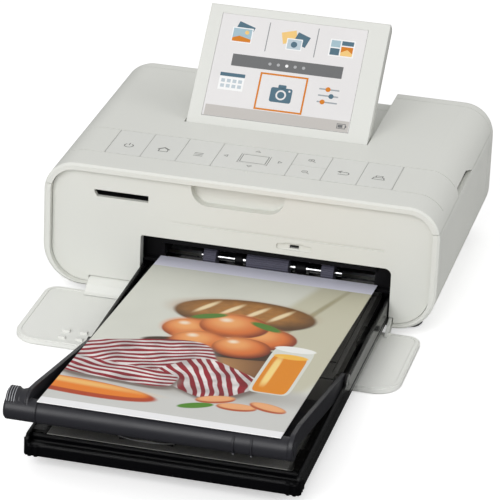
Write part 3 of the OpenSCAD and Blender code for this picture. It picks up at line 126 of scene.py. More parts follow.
class CassetteLooks(bpy.types.PropertyGroup):
    """Colours of the paper cassette."""
    base: colour("Base", "08080A", "Colour of the glossy base")
    smoke: colour("Smoke covers", "1C1B1A", "Tint of the see-through covers")
    lid: colour("Outer lid", "26262B", "Colour of the satin lid that is folded back")


class PictureLooks(bpy.types.PropertyGroup):
    """Colours of the printed still life and of the display."""
    cloth: colour("Cloth", "9A0622", "Colour of the stripes of the cloth")
    wall: colour("Wall", "DCDDD3", "Colour behind the still life")
    table: colour("Table", "D2D2CE", "Colour of the table")
    stripe: FloatProperty(name="Stripe", description="Distance from stripe to stripe of the cloth",
                          default=4.1 * MM, min=1 * MM, max=20 * MM, unit="LENGTH", precision=5)
    lit: FloatProperty(name="Display light", description="Strength of the display's own light",
                       default=0.12, min=0.0, max=3.0, subtype="FACTOR")


class StudioLooks(bpy.types.PropertyGroup):
    """Floor, lamps and room light."""
    floor: colour("Floor", "F2F2F2", "Colour of the floor")
    room: FloatProperty(name="Room light", description="Strength of the even light", default=0.58,
                        min=0.0, max=3.0, subtype="FACTOR")
    main: FloatProperty(name="Main lamp", description="Power of the large lamp", default=13.5,
                        min=0.0, max=500.0, subtype="POWER")
    side: FloatProperty(name="Side lamp", description="Power of the lamp at the right", default=3.4,
                        min=0.0, max=500.0, subtype="POWER")


class PrinterLooks(bpy.types.PropertyGroup):
    """All looks of the printer."""
    casing: PointerProperty(type=CasingLooks)
    cassette: PointerProperty(type=CassetteLooks)
    picture: PointerProperty(type=PictureLooks)
    studio: PointerProperty(type=StudioLooks)


def add(tree, kind, sockets=None, **settings):
    """Adds a shader node, sets it up, and fills or links its sockets by name or number."""
    node = tree.nodes.new("ShaderNode" + kind)
    for key, value in settings.items():
        setattr(node, key, value)
    for key, value in (sockets or {}).items():
        socket = node.inputs[key]
        if isinstance(value, bpy.types.NodeSocket):
            tree.links.new(value, socket)
        elif socket.type == "RGBA" and len(value) == 3:
            socket.default_value = (*value, 1.0)
        else:
            socket.default_value = value
    return node


def shades(tint, amount):
    """The same colour a little darker and a little lighter."""
    return [tuple(min(c * f, 1.0) for c in tint) for f in (1.0 - amount, 1.0 + amount)]


def blank(name):
    """A new material with one Principled shader: (material, tree, shader, object coordinates)."""
    material = bpy.data.materials.new(name)
    material.use_nodes = True
    tree = material.node_tree
    tree.nodes.clear()
    shader = add(tree, "BsdfPrincipled")
    add(tree, "OutputMaterial", {"Surface": shader.outputs["BSDF"]})
    return material, tree, shader, add(tree, "TexCoord").outputs["Object"]


def moulded(name, tint, roughness, grain, depth, edge=0.35 * MM, mottle=0.018, shine=0.5,
            ior=1.53):
    """A moulded part: grain as bump, edges rounded by the tool, slight flow marks in the colour."""
    material, tree, shader, place = blank(name)
    flow = add(tree, "TexNoise", {"Vector": place, "Scale": 1 / (70 * MM), "Detail": 3.0})
    dark, light = shades(tint, mottle)
    tone = add(tree, "Mix", {0: flow.outputs["Fac"], 6: dark, 7: light}, data_type="RGBA")
    fine = add(tree, "TexNoise", {"Vector": place, "Scale": 1 / grain, "Detail": 2.5,
                                  "Roughness": 0.6})
    wear = add(tree, "TexNoise", {"Vector": place, "Scale": 1 / (14 * MM), "Detail": 4.0})
    dull = add(tree, "MapRange", {"Value": wear.outputs["Fac"], "From Min": 0.3, "From Max": 0.7,
                                  "To Min": roughness - 0.04, "To Max": roughness + 0.04})
    rounded = add(tree, "Bevel", {"Radius": edge}, samples=4)
    bump = add(tree, "Bump", {"Strength": 1.0, "Distance": depth, "Height": fine.outputs["Fac"],
                              "Normal": rounded.outputs["Normal"]})
    for key, value in {"Base Color": tone.outputs[2], "Roughness": dull.outputs["Result"],
                       "Normal": bump.outputs["Normal"]}.items():
        tree.links.new(value, shader.inputs[key])
    shader.inputs["IOR"].default_value = ior
    shader.inputs["Specular IOR Level"].default_value = shine
    return material


def metal(name, tint, roughness, direction, line):
    """A bare metal with fine lines along one direction, as turning or rolling leaves them."""
    material, tree, shader, place = blank(name)
    stretch = tuple(0.04 if i == direction else 1.0 for i in range(3))
    drawn = add(tree, "Mapping", {"Vector": place, "Scale": stretch})
    lines = add(tree, "TexNoise", {"Vector": drawn.outputs["Vector"], "Scale": 1 / line,
                                   "Detail": 4.0})
    dark, light = shades(tint, 0.06)
    tone = add(tree, "Mix", {0: lines.outputs["Fac"], 6: dark, 7: light}, data_type="RGBA")
    dull = add(tree, "MapRange", {"Value": lines.outputs["Fac"], "To Min": roughness - 0.06,
                                  "To Max": roughness + 0.08})
    rounded = add(tree, "Bevel", {"Radius": 0.15 * MM}, samples=4)
    bump = add(tree, "Bump", {"Strength": 0.4, "Distance": 0.02 * MM,
                              "Height": lines.outputs["Fac"],
                              "Normal": rounded.outputs["Normal"]})
    for key, value in {"Base Color": tone.outputs[2], "Roughness": dull.outputs["Result"],
                       "Normal": bump.outputs["Normal"]}.items():
        tree.links.new(value, shader.inputs[key])
    shader.inputs["Metallic"].default_value = 1.0
    return material


def paint(material, *nodes):
    """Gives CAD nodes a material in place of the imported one."""
    for name in nodes:
        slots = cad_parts[name].data.materials
        slots.clear()
        slots.append(material)


def piece(name, points, faces, material, body):
    """A new mesh piece that rides on a body and takes the given material."""
    mesh = bpy.data.meshes.new(name)
    mesh.from_pydata(points, [], faces)
    mesh.update()
    obj = bpy.data.objects.new(name, mesh)
    bpy.context.scene.collection.objects.link(obj)
    mesh.materials.append(material)
    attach(obj, body)
    return obj


def flat_piece(name, outlines, material, body):
    """One piece of flat faces, each given by the placed points of its outline."""
    points, faces = [], []
    for outline in outlines:
        faces.append(tuple(range(len(points), len(points) + len(outline))))
        points += outline
    return piece(name, points, faces, material, body)


def arc(cx, cy, r, start, end, n=14):
    """Points along an arc, in degrees."""
    turns = [math.radians(start + (end - start) * k / n) for k in range(n + 1)]
    return [(cx + r * math.cos(t), cy + r * math.sin(t)) for t in turns]


def disc(cx, cy, r):
    """Outline of a disc."""
    return arc(cx, cy, r, 0.0, 360.0, 28)[:-1]


def tile(x0, y0, x1, y1, turn=0.0, r=0.0):
    """Outline of a rectangle with rounded corners, turned about its middle by some degrees."""
    cx, cy = (x0 + x1) / 2, (y0 + y1) / 2
    a, b = (x1 - x0) / 2, (y1 - y0) / 2
    outline = []
    for sx, sy, first in ((1, 1, 0), (-1, 1, 90), (-1, -1, 180), (1, -1, 270)):
        for k in range(5 if r else 1):
            t = math.radians(first + 22.5 * k)
            outline.append((sx * (a - r) + r * math.cos(t), sy * (b - r) + r * math.sin(t)))
    c, s = math.cos(math.radians(turn)), math.sin(math.radians(turn))
    return [(cx + x * c - y * s, cy + x * s + y * c) for x, y in outline]


def stroke(points, width, closed=False):
    """Outlines of the quads that make a line of even width, mitred where it turns."""
    n = len(points)
    sides = []
    for i, p in enumerate(points):
        before = points[i - 1] if i or closed else None
        after = points[(i + 1) % n] if i < n - 1 or closed else None
        ways = []
        for a, b in ((before, p), (p, after)):
            if a is not None and b is not None:
                d = Vector((b[0] - a[0], b[1] - a[1])).normalized()
                ways.append(Vector((-d.y, d.x)))
        across = sum(ways, Vector((0, 0))).normalized()
        reach = width / 2 / max(across.dot(ways[0]), 0.4)
        sides.append((Vector(p) + across * reach, Vector(p) - across * reach))
    last = n if closed else n - 1
    return [[sides[i][0], sides[i][1], sides[(i + 1) % n][1], sides[(i + 1) % n][0]]
            for i in range(last)]


def legend(name, node, lines, material, width=0.5):
    """A symbol printed on one key: lines are (points, closed) in millimetres from its middle."""
    low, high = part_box(node)
    cx, cy = (low[0] + high[0]) / 2, (low[1] + high[1]) / 2
    quads = [quad for points, closed in lines for quad in stroke(points, width, closed)]
    placed = [[(cx + x * MM, cy + y * MM, high[2] + INK_LIFT) for x, y in quad] for quad in quads]
    flat_piece(name, placed, material, node)


class PRINTER_OT_casing(bpy.types.Operator):
    """Covers, doors, feet, screws and sockets"""
    bl_idname = "printer.casing"
    bl_label = "Dress the casing"

    def execute(self, context):
        looks = context.scene.printer_looks.casing
        # ABS from a spark-eroded tool: a soft, even grain that spreads every highlight.
        # The real grain is near 0.15 mm and is drawn coarser so that it shows at all.
        paint(moulded("spark_eroded_abs_white", tuple(looks.shell), 0.46, looks.grain, 0.012 * MM),
              "top_cover", "front_panel", "bottom_case", "rear_cover", "ink_door")
        # ABS from a finely ground tool, inner side of the front door: smoother, and painted whiter
        # than the casing so that the door lobes, which the casing shades, come out light
        paint(moulded("door_abs_white_painted_lighter", tuple(looks.door), 0.4, 1.2 * MM, 0.006 * MM),
              "front_door", "door_hinge_arms")
        # thermoplastic elastomer: dull, slightly dusty grey
        paint(moulded("elastomer_grey", linear("4B4B4D"), 0.82, 0.4 * MM, 0.03 * MM), "rubber_feet")
        # zinc plated steel, turned: bright, with fine lines along its length
        paint(metal("zinc_plated_steel", linear("9FA1A3"), 0.34, 0, 0.25 * MM), "rear_screws",
              "door_pins", "screen_hinge_pins", "lid_hinge_pins", "arm_rod", "head_rod")
        # glass-filled polyamide: matt black with a dry grain
        paint(moulded("glass_filled_polyamide", linear("141416"), 0.55, 0.5 * MM, 0.02 * MM),
              "latch_catch", "card_socket", "power_inlet")
        # tinned steel shell of the socket, rolled: a little brighter than zinc
        paint(metal("tinned_steel", linear("B4B5B8"), 0.26, 1, 0.3 * MM), "usb_socket")
        return {"FINISHED"}


class PRINTER_OT_screen(bpy.types.Operator):
    """Frame and back of the raised screen, and its lit picture"""
    bl_idname = "printer.screen"
    bl_label = "Dress the screen"

    def execute(self, context):
        looks = context.scene.printer_looks
        # ABS from a polished tool: smoother than the casing, with a faint orange peel
        paint(moulded("polished_abs_white", tuple(looks.casing.smooth), 0.36, 1.6 * MM,
                      0.006 * MM), "screen_frame")
        # grey ABS with the casing's grain: as soft in its highlights, only darker
        paint(moulded("spark_eroded_abs_grey", linear("C9CAC4"), 0.44, looks.casing.grain,
                      0.012 * MM), "screen_back")
        lit = self.lit_glass(looks.picture.lit)
        paint(lit, "display_panel")
        self.display(lit)
        return {"FINISHED"}

    def lit_glass(self, strength):
        """Acrylic over a display: hard and clear, each shape's own colour lit from behind."""
        material, tree, shader, place = blank("acrylic_over_display")
        own = add(tree, "VertexColor", layer_name="ink")
        # the light guide behind the display shines a little unevenly
        guide = add(tree, "TexNoise", {"Vector": place, "Scale": 1 / (30 * MM), "Detail": 1.0})
        tone = add(tree, "MapRange", {"Value": guide.outputs["Fac"], "From Min": 0.3,
                                      "From Max": 0.7, "To Min": 0.965, "To Max": 1.0})
        shade = add(tree, "VectorMath", {0: own.outputs["Color"], 1: tone.outputs["Result"]},
                    operation="MULTIPLY")
        tree.links.new(shade.outputs["Vector"], shader.inputs["Base Color"])
        tree.links.new(shade.outputs["Vector"], shader.inputs["Emission Color"])
        shader.inputs["Emission Strength"].default_value = strength
        shader.inputs["Roughness"].default_value = 0.22
        shader.inputs["IOR"].default_value = 1.49
        return material

    def display(self, lit):
        """A generic page of six tiles: pictures above, tools below, one of them framed.

        Each shape is (layer, colour code, outline) and keeps its own colour."""
        slate, orange, cream, white = "4E6C7C", "CE7A1C", "E9C27A", "EDEDED"
        dark, pale, ground = "6A6B6C", "BDB9B5", "DEDCDC"
        shapes = [(0, ground, tile(-36.3, 5.1, 32.9, 56.6, r=0.4)),
                  (1, pale, tile(-35.4, 5.2, 32.6, 10.6)),
                  (1, dark, tile(-27.6, 31.0, 24.9, 37.0))]
        # five small round marks in the dark bar, the middle one lit
        for k in range(5):
            shapes.append((2, white if k == 2 else "A9AAAC", disc(-9.5 + 4 * k, 34.0, 0.75)))
        for x in (-13.2, 10.0):
            shapes.append((1, "8B8D90", tile(x - 0.22, 40.0, x + 0.22, 54.6)))
        # top left: two overlapping landscape cards
        shapes += [(1, slate, tile(-28.6, 46.2, -20.4, 52.4, -18)),
                   (2, white, tile(-30.2, 42.8, -20.4, 50.4)),
                   (3, "9FB9C4", tile(-29.7, 43.3, -20.9, 49.9)),
                   (4, orange, [(-29.7, 43.3), (-20.9, 43.3), (-20.9, 44.8), (-26.5, 46.2),
                                (-29.7, 45.0)]),
                   (5, cream, disc(-23.2, 48.1, 1.0))]
        # top middle: a fan of three cards
        shapes += [(1, cream, tile(-6.4, 45.6, 0.6, 51.4, 16)),
                   (2, slate, tile(-0.2, 45.0, 6.2, 50.6, -20)),
                   (3, white, tile(-3.9, 42.2, 3.6, 48.0)),
                   (4, "B7C6CE", tile(-3.4, 42.7, 3.1, 47.5)),
                   (5, slate, disc(-0.2, 45.0, 1.5))]
        # top right: a page of four frames
        shapes.append((1, white, tile(16.4, 41.8, 28.2, 50.4)))
        for corners, code in (((17.0, 46.4, 21.4, 49.8), "9FB9C4"),
                              ((22.0, 47.6, 27.6, 49.8), slate),
                              ((17.0, 42.4, 21.4, 45.8), slate),
                              ((22.0, 42.4, 27.6, 47.0), orange)):
            shapes.append((2, code, tile(*corners)))
        shapes.append((3, cream, [(22.0, 42.4), (27.6, 42.4), (27.6, 43.8), (25.0, 45.6),
                                  (22.0, 44.0)]))
        # lower left: a calendar page
        shapes += [(1, white, tile(-31.6, 18.6, -19.8, 27.2)),
                   (2, slate, tile(-31.6, 25.4, -19.8, 27.2))]
        for i in range(4):
            for j in range(2):
                shapes.append((2, "B9C4CB", tile(-30.6 + 2.7 * i, 19.8 + 2.6 * j, -28.8 + 2.7 * i,
                                                 21.5 + 2.6 * j)))
        # lower middle, framed: a camera
        for quad in stroke([(-12.5, 11.4), (9.4, 11.4), (9.4, 29.1), (-12.5, 29.1)], 0.85, True):
            shapes.append((2, orange, quad))
        shapes += [(1, slate, tile(-6.6, 15.6, 3.6, 22.9, r=1.0)),
                   (1, slate, tile(-3.4, 22.6, 0.4, 24.4, r=0.5)),
                   (2, ground, disc(-1.5, 19.3, 2.5)), (3, slate, disc(-1.5, 19.3, 1.7)),
                   (2, ground, disc(2.2, 21.6, 0.5))]
        # lower right: three sliders
        for k, knob in enumerate((2.6, 6.2, 4.2)):
            y = 18.6 + 3.2 * k
            shapes += [(1, "9AA0A4", tile(15.6, y - 0.35, 25.2, y + 0.35, r=0.3)),
                       (2, orange if k != 1 else slate, disc(15.6 + knob, y, 1.2))]
        # charge level in the light bar
        for quad in stroke([(27.2, 6.8), (31.0, 6.8), (31.0, 9.0), (27.2, 9.0)], 0.3, True):
            shapes.append((2, dark, quad))
        shapes += [(3, dark, tile(27.6, 7.2, 29.8, 8.6)), (2, dark, tile(31.1, 7.4, 31.6, 8.4))]
        placed = [[on_screen(x, y, SCREEN_FACE - PAGE_DROP + PAGE_STEP * layer)
                   for x, y in outline] for layer, _, outline in shapes]
        page = flat_piece("display_picture", placed, lit, "screen").data
        ink = page.color_attributes.new("ink", "FLOAT_COLOR", "CORNER")
        for polygon, (_, code, _) in zip(page.polygons, shapes):
            for corner in polygon.loop_indices:
                ink.data[corner].color = (*linear(code), 1.0)


class PRINTER_OT_keys(bpy.types.Operator):
    """Keys and their printed symbols"""
    bl_idname = "printer.keys"
    bl_label = "Dress the keys"

    def execute(self, context):
        looks = context.scene.printer_looks.casing
        # ABS keys from the same tool finish as the cover, a touch smoother from handling
        paint(moulded("spark_eroded_abs_keys", tuple(looks.smooth), 0.42, looks.grain, 0.010 * MM,
                      edge=0.25 * MM),
              "power_button", "home_button", "menu_button", "direction_pad", "ok_button",
              "zoom_in_button", "zoom_out_button", "back_button", "print_button")
        # silicone mat under the keys: milky and matt, pale so that the gaps stay soft
        mat = moulded("silicone_mat_grey", linear("C9CAC5"), 0.7, 0.6 * MM, 0.02 * MM)
        paint(mat, "key_mat")
        self.gap_lips(mat)
        ink = self.printed(tuple(looks.legend))
        y = SYMBOL_Y
        legend("power_symbol", "power_button",
               [(arc(0, y, 2.0, 125, 415), False), ([(0, y + 0.5), (0, y + 2.9)], False)], ink)
        legend("home_symbol", "home_button",
               [([(-2.0, y - 1.8), (2.0, y - 1.8), (2.0, y + 0.8), (0, y + 2.6), (-2.0, y + 0.8)],
                 True), ([(-2.8, y + 0.6), (0, y + 3.0), (2.8, y + 0.6)], False)], ink)
        legend("menu_symbol", "menu_button",
               [([(-2.1, y + 1.8 - 1.6 * k), (2.1, y + 1.8 - 1.6 * k)], False)
                for k in range(3)], ink)
        legend("back_symbol", "back_button",
               [([(-2.4, y + 1.6), (1.2, y + 1.6)] + arc(1.2, y + 0.2, 1.4, 90, -90)
                 + [(-2.2, y - 1.2)], False),
                ([(-0.9, y + 2.8), (-2.5, y + 1.6), (-0.9, y + 0.4)], False)], ink)
        legend("print_symbol", "print_button",
               [([(-2.7, y - 1.4), (2.7, y - 1.4), (2.2, y + 0.8), (-2.2, y + 0.8)], True),
                ([(-1.5, y + 0.8), (-1.5, y + 2.5), (1.5, y + 2.5), (1.5, y + 0.8)], False)], ink)
        for node, sign in (("zoom_in_button", 1), ("zoom_out_button", -1)):
            lines = [(arc(-0.5, 0.4, 1.3, 0, 360, 18)[:-1], True),
                     ([(0.5, -0.6), (1.8, -1.8)], False), ([(-1.2, 0.4), (0.2, 0.4)], False)]
            if sign > 0:
                lines.append(([(-0.5, -0.3), (-0.5, 1.1)], False))
            legend(node.replace("_button", "_symbol"), node, lines, ink, 0.34)
        w, l = 5.9, 4.4
        legend("centre_frame", "ok_button", [([(-w, -l), (w, -l), (w, l), (-w, l)], True)],
               ink, 0.36)
        marks = []
        for ax, ay, turn in ((-13.2, 0.2, 180), (11.8, 0.2, 0), (-0.4, 9.4, 90), (-0.4, -8.6, 270)):
            c, s = math.cos(math.radians(turn)), math.sin(math.radians(turn))
            marks.append(([(ax + px * c - py * s, ay + px * s + py * c)
                           for px, py in ((-0.7, 1.1), (0.9, 0), (-0.7, -1.1))], True))
        legend("pad_arrows", "direction_pad", marks, ink, 0.32)
        return {"FINISHED"}

    def gap_lips(self, mat):
        """Lips of the mat that stand in the gaps beside the keys, a little below their tops."""
        row = ["power_button", "home_button", "menu_button", "direction_pad", "zoom_in_button",
               "back_button", "print_button"]
        boxes = [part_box(node) for node in row]
        front, back = boxes[0][0][1], boxes[0][1][1]
        top = boxes[0][1][2] - LIP_DROP
        edges = ([(boxes[0][0][0] - LIP_CLEAR - LIP_W, boxes[0][0][0] - LIP_CLEAR)]
                 + [(a[1][0] + LIP_CLEAR, b[0][0] - LIP_CLEAR) for a, b in zip(boxes, boxes[1:])]
                 + [(boxes[-1][1][0] + LIP_CLEAR, boxes[-1][1][0] + LIP_CLEAR + LIP_W)])
        points, faces = [], []
        for x0, x1 in edges:
            first = len(points)
            points += [(x, y, z) for z in (top - LIP_DEEP, top) for x, y in
                       ((x0, front), (x1, front), (x1, back), (x0, back))]
            faces += [tuple(first + i for i in face) for face in
                      ((3, 2, 1, 0), (4, 5, 6, 7), (0, 1, 5, 4), (1, 2, 6, 5), (2, 3, 7, 6),
                       (3, 0, 4, 7))]
        piece("key_gap_lips", points, faces, mat, "casing")

    def printed(self, tint):
        """Pad-printed ink: flat grey that breaks up slightly over the grain."""
        material, tree, shader, place = blank("pad_printed_ink_grey")
        speck = add(tree, "TexNoise", {"Vector": place, "Scale": 1 / (0.35 * MM), "Detail": 2.0})
        dark, light = shades(tint, 0.10)
        tone = add(tree, "Mix", {0: speck.outputs["Fac"], 6: dark, 7: light}, data_type="RGBA")
        tree.links.new(tone.outputs[2], shader.inputs["Base Color"])
        shader.inputs["Roughness"].default_value = 0.5
        return material


class PRINTER_OT_works(bpy.types.Operator):
    """Rollers, gears, print head, ink cassette and boards"""
    bl_idname = "printer.works"
    bl_label = "Dress the works"

    def execute(self, context):
        # reground ABS from an etched tool: matt black with a violet cast
        paint(moulded("etched_abs_black", linear("0B0A0D"), 0.5, 0.6 * MM, 0.02 * MM, shine=0.15),
              "bay_liner", "print_rests", "pickup_arm")
        # rubber, buffed so that it grips: dull grey-violet with a torn grain
        paint(moulded("buffed_rubber_violet_grey", linear("5A596A"), 0.66, 0.5 * MM, 0.04 * MM,
                      edge=0.2 * MM), "pickup_rollers")
        # nitrile rubber, ground round: dull and nearly black
        paint(moulded("ground_nitrile_rubber", linear("1A1A1C"), 0.6, 0.5 * MM, 0.03 * MM),
              "pinch_roller", "platen_roller")
        # steel shafts, ground and polished: a hard bright line along each
        paint(metal("ground_steel_shaft", linear("C9CACC"), 0.16, 0, 0.2 * MM), "pickup_shaft",
              "feed_roller")
        # acetal, moulded: milky white with a waxy sheen
        paint(moulded("acetal_natural", linear("DCDDD2"), 0.35, 0.8 * MM, 0.008 * MM, 0.15 * MM),
              "feed_gear", "platen_gear", "idler_gear")
        # brass, turned: warm, with rings
        paint(metal("turned_brass", linear("C8A860"), 0.3, 0, 0.2 * MM), "motor_pinion")
        # zinc plated sheet, rolled: soft grey with long faint lines
        paint(metal("zinc_plated_sheet", linear("AEB0B3"), 0.38, 1, 0.5 * MM), "chassis",
              "head_lever")
        # nickel plated steel, deep drawn: smooth and slightly warm
        paint(metal("nickel_plated_can", linear("A9AAAC"), 0.3, 0, 0.4 * MM), "feed_motor")
        # aluminium, extruded: pale, with lines along the fins
        paint(metal("extruded_aluminium", linear("C2C3C5"), 0.36, 0, 0.4 * MM), "heat_sink")
        # alumina with a glazed line: smooth, faintly cream
        paint(moulded("glazed_alumina", linear("E3DDCF"), 0.22, 1.0 * MM, 0.004 * MM), "print_head")
        # polypropylene, moulded: dark and slightly waxy
        paint(moulded("tinted_polypropylene", linear("3B3D45"), 0.34, 0.7 * MM, 0.012 * MM),
              "ink_cassette_shell")
        # polystyrene, moulded: plain white with a medium gloss
        paint(moulded("polystyrene_white", linear("E4E4E0"), 0.4, 0.8 * MM, 0.010 * MM),
              "takeup_spool")
        paint(self.dye_film(), "supply_spool", "ink_ribbon")
        paint(self.circuit_board(), "key_board", "main_board")
        return {"FINISHED"}

    def dye_film(self):
        """Polyester ink film: glossy panels of yellow, magenta and cyan along the ribbon."""
        material, tree, shader, place = blank("dye_coated_polyester")
        turn = add(tree, "SeparateXYZ", {"Vector": place})
        panel = add(tree, "Math", {0: turn.outputs["Y"], 1: 1 / (24 * MM)}, operation="MULTIPLY")
        step = add(tree, "Math", {0: panel.outputs["Value"]}, operation="FRACT")
        ramp = add(tree, "ValToRGB", {"Fac": step.outputs["Value"]})
        ramp.color_ramp.interpolation = "CONSTANT"
        ramp.color_ramp.elements[0].color = (*linear("C9A227"), 1)
        ramp.color_ramp.elements[1].position = 0.33
        ramp.color_ramp.elements[1].color = (*linear("A32258"), 1)
        third = ramp.color_ramp.elements.new(0.66)
        third.color = (*linear("1B6C99"), 1)
        crease = add(tree, "TexNoise", {"Vector": place, "Scale": 1 / (5 * MM), "Detail": 3.0})
        bump = add(tree, "Bump", {"Strength": 0.4, "Distance": 0.05 * MM,
                                  "Height": crease.outputs["Fac"]})
        tree.links.new(ramp.outputs["Color"], shader.inputs["Base Color"])
        tree.links.new(bump.outputs["Normal"], shader.inputs["Normal"])
        shader.inputs["Roughness"].default_value = 0.2
        return material

    def circuit_board(self):
        """Glass-epoxy board: green mask over the weave, with lighter tracks."""
        material, tree, shader, place = blank("solder_mask_on_glass_epoxy")
        tracks = add(tree, "TexBrick", {"Vector": place, "Scale": 1.0, "Mortar Size": 0.35 * MM,
                                        "Brick Width": 9 * MM, "Row Height": 2.4 * MM,
                                        "Color1": linear("12482B"), "Color2": linear("164F30"),
                                        "Mortar": linear("2F7A4B")})
        weave = add(tree, "TexChecker", {"Vector": place, "Scale": 1 / (0.6 * MM)})
        bump = add(tree, "Bump", {"Strength": 0.3, "Distance": 0.02 * MM,
                                  "Height": weave.outputs["Fac"]})
        tree.links.new(tracks.outputs["Color"], shader.inputs["Base Color"])
        tree.links.new(bump.outputs["Normal"], shader.inputs["Normal"])
        shader.inputs["Roughness"].default_value = 0.3
        return material


class PRINTER_OT_cassette(bpy.types.Operator):
    """Paper cassette, its covers and its lid"""
    bl_idname = "printer.cassette"
    bl_label = "Dress the cassette"

    def execute(self, context):
        looks = context.scene.printer_looks.cassette
        # ABS from a mirror-polished tool: deep black that mirrors the room, with wipe marks
        paint(moulded("mirror_abs_black", tuple(looks.base), 0.16, 6 * MM, 0.010 * MM,
                      edge=2.0 * MM, mottle=0.1, ior=1.3), "cassette_base")
        # ABS from a blasted tool: satin, so that the light lies broad along the bar
        paint(moulded("satin_abs_smoke_grey", tuple(looks.lid), 0.42, 1.1 * MM, 0.010 * MM,
                      edge=0.7 * MM, mottle=0.06, shine=0.35), "cassette_outer_lid")
        paint(self.smoke(tuple(looks.smoke)), "cassette_front_cover", "cassette_inner_lid")
        paint(self.paper_edges(), "paper_stack")
        # painted highlights on the lid's grip ribs and rings, and on the slot's rim
        self.painted_crest_highlights()
        return {"FINISHED"}

    def painted_crest_highlights(self):
        """Painted highlights as pale strips: on the ribs of the grip, on the lower ends of the
        bar's rings, and round the rim of the slot.
        """
        # painted highlight: a dull pale grey on the crests of the ribs and rings, where the light
        # catches them
        crest_highlight = moulded("painted_highlight_grey", linear("8D8E92"), 0.5, 0.5 * MM, 0.02 * MM)
        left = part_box("cassette_outer_lid")[0][0]
        # each band: its left edge, width, axis, radius, and start and span of its arc in degrees
        bands = [(left + RIB_IN + RIB_PITCH * k, RIB_W, GRIP_Y, GRIP_Z, GRIP_R, 20, 108)
                 for k in range(RIB_N)]
        bands += [(x, RING_W, RING_Y, RING_Z, RING_R, -62, 24) for x in RING_X]
        points, faces, steps = [], [], 12
        for x0, width, y, z, r, start, span in bands:
            first = len(points)
            for k in range(steps + 1):
                turn = math.radians(start + span * k / steps)
                points += [(x, y - r * math.cos(turn), z + r * math.sin(turn))
                           for x in (x0, x0 + width)]
            faces += [(first + 2 * i, first + 2 * i + 1, first + 2 * i + 3, first + 2 * i + 2)
                      for i in range(steps)]
        piece("grip_painted_highlights", points, faces, crest_highlight, "outer_lid")
        # painted highlight: a pale strip on the slot's rim, where the light catches it on the smoke
        # cover
        rim_highlight = moulded("painted_highlight_slot_rim", linear("DEDEE0"), 0.5, 0.5 * MM, 0.02 * MM)
        low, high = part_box("cassette_front_cover")
        outlines = []
        for half, bulge in (SLOT_OUT, SLOT_HOLE):
            r = (half ** 2 + bulge ** 2) / (2 * bulge)
            reach = math.degrees(math.asin(half / r))
            outlines.append(arc(0, bulge - r, r, 90 - reach, 90 + reach)
                            + arc(0, r - bulge, r, 270 - reach, 270 + reach)[1:-1])
        n = len(outlines[0])
        points = [(SLOT_X + x * MM, low[1] + SLOT_IN + y * MM, high[2] + SLOT_LIFT)
                  for outline in outlines for x, y in outline]
        faces = [(i, (i + 1) % n, n + (i + 1) % n, n + i) for i in range(n)]
        piece("slot_rim", points, faces, rim_highlight, "paper_cassette")

    def smoke(self, tint):
        """SAN, tinted smoke: a see-through brown-grey with a hard gloss and faint flow lines."""
        material, tree, shader, place = blank("smoke_san")
        drawn = add(tree, "Mapping", {"Vector": place, "Scale": (1.0, 0.25, 1.0)})
        flow = add(tree, "TexNoise", {"Vector": drawn.outputs["Vector"], "Scale": 1 / (18 * MM),
                                      "Detail": 3.0})
        dark, light = shades(tint, 0.12)
        tone = add(tree, "Mix", {0: flow.outputs["Fac"], 6: dark, 7: light}, data_type="RGBA")
        bump = add(tree, "Bump", {"Strength": 0.5, "Distance": 0.02 * MM,
                                  "Height": flow.outputs["Fac"]})
        tree.links.new(tone.outputs[2], shader.inputs["Base Color"])
        tree.links.new(bump.outputs["Normal"], shader.inputs["Normal"])
        shader.inputs["Roughness"].default_value = 0.16
        shader.inputs["Specular IOR Level"].default_value = 0.4
        shader.inputs["Alpha"].default_value = 0.36
        return material

    def paper_edges(self):
        """A stack of coated sheets: white faces, and the sheets as fine lines at the sides."""
        material, tree, shader, place = blank("coated_paper_stack")
        # sheets of 0.25 mm, drawn at 0.5 mm
        sheets = add(tree, "TexWave", {"Vector": place, "Scale": 1 / (10 * MM), "Distortion": 0.6},
                     bands_direction="Z")
        tone = add(tree, "Mix", {0: sheets.outputs["Fac"], 6: linear("D9D8D2"),
                                 7: linear("F1F0EC")}, data_type="RGBA")
        bump = add(tree, "Bump", {"Strength": 0.5, "Distance": 0.08 * MM,
                                  "Height": sheets.outputs["Fac"]})
        tree.links.new(tone.outputs[2], shader.inputs["Base Color"])
        tree.links.new(bump.outputs["Normal"], shader.inputs["Normal"])
        shader.inputs["Roughness"].default_value = 0.55
        return material


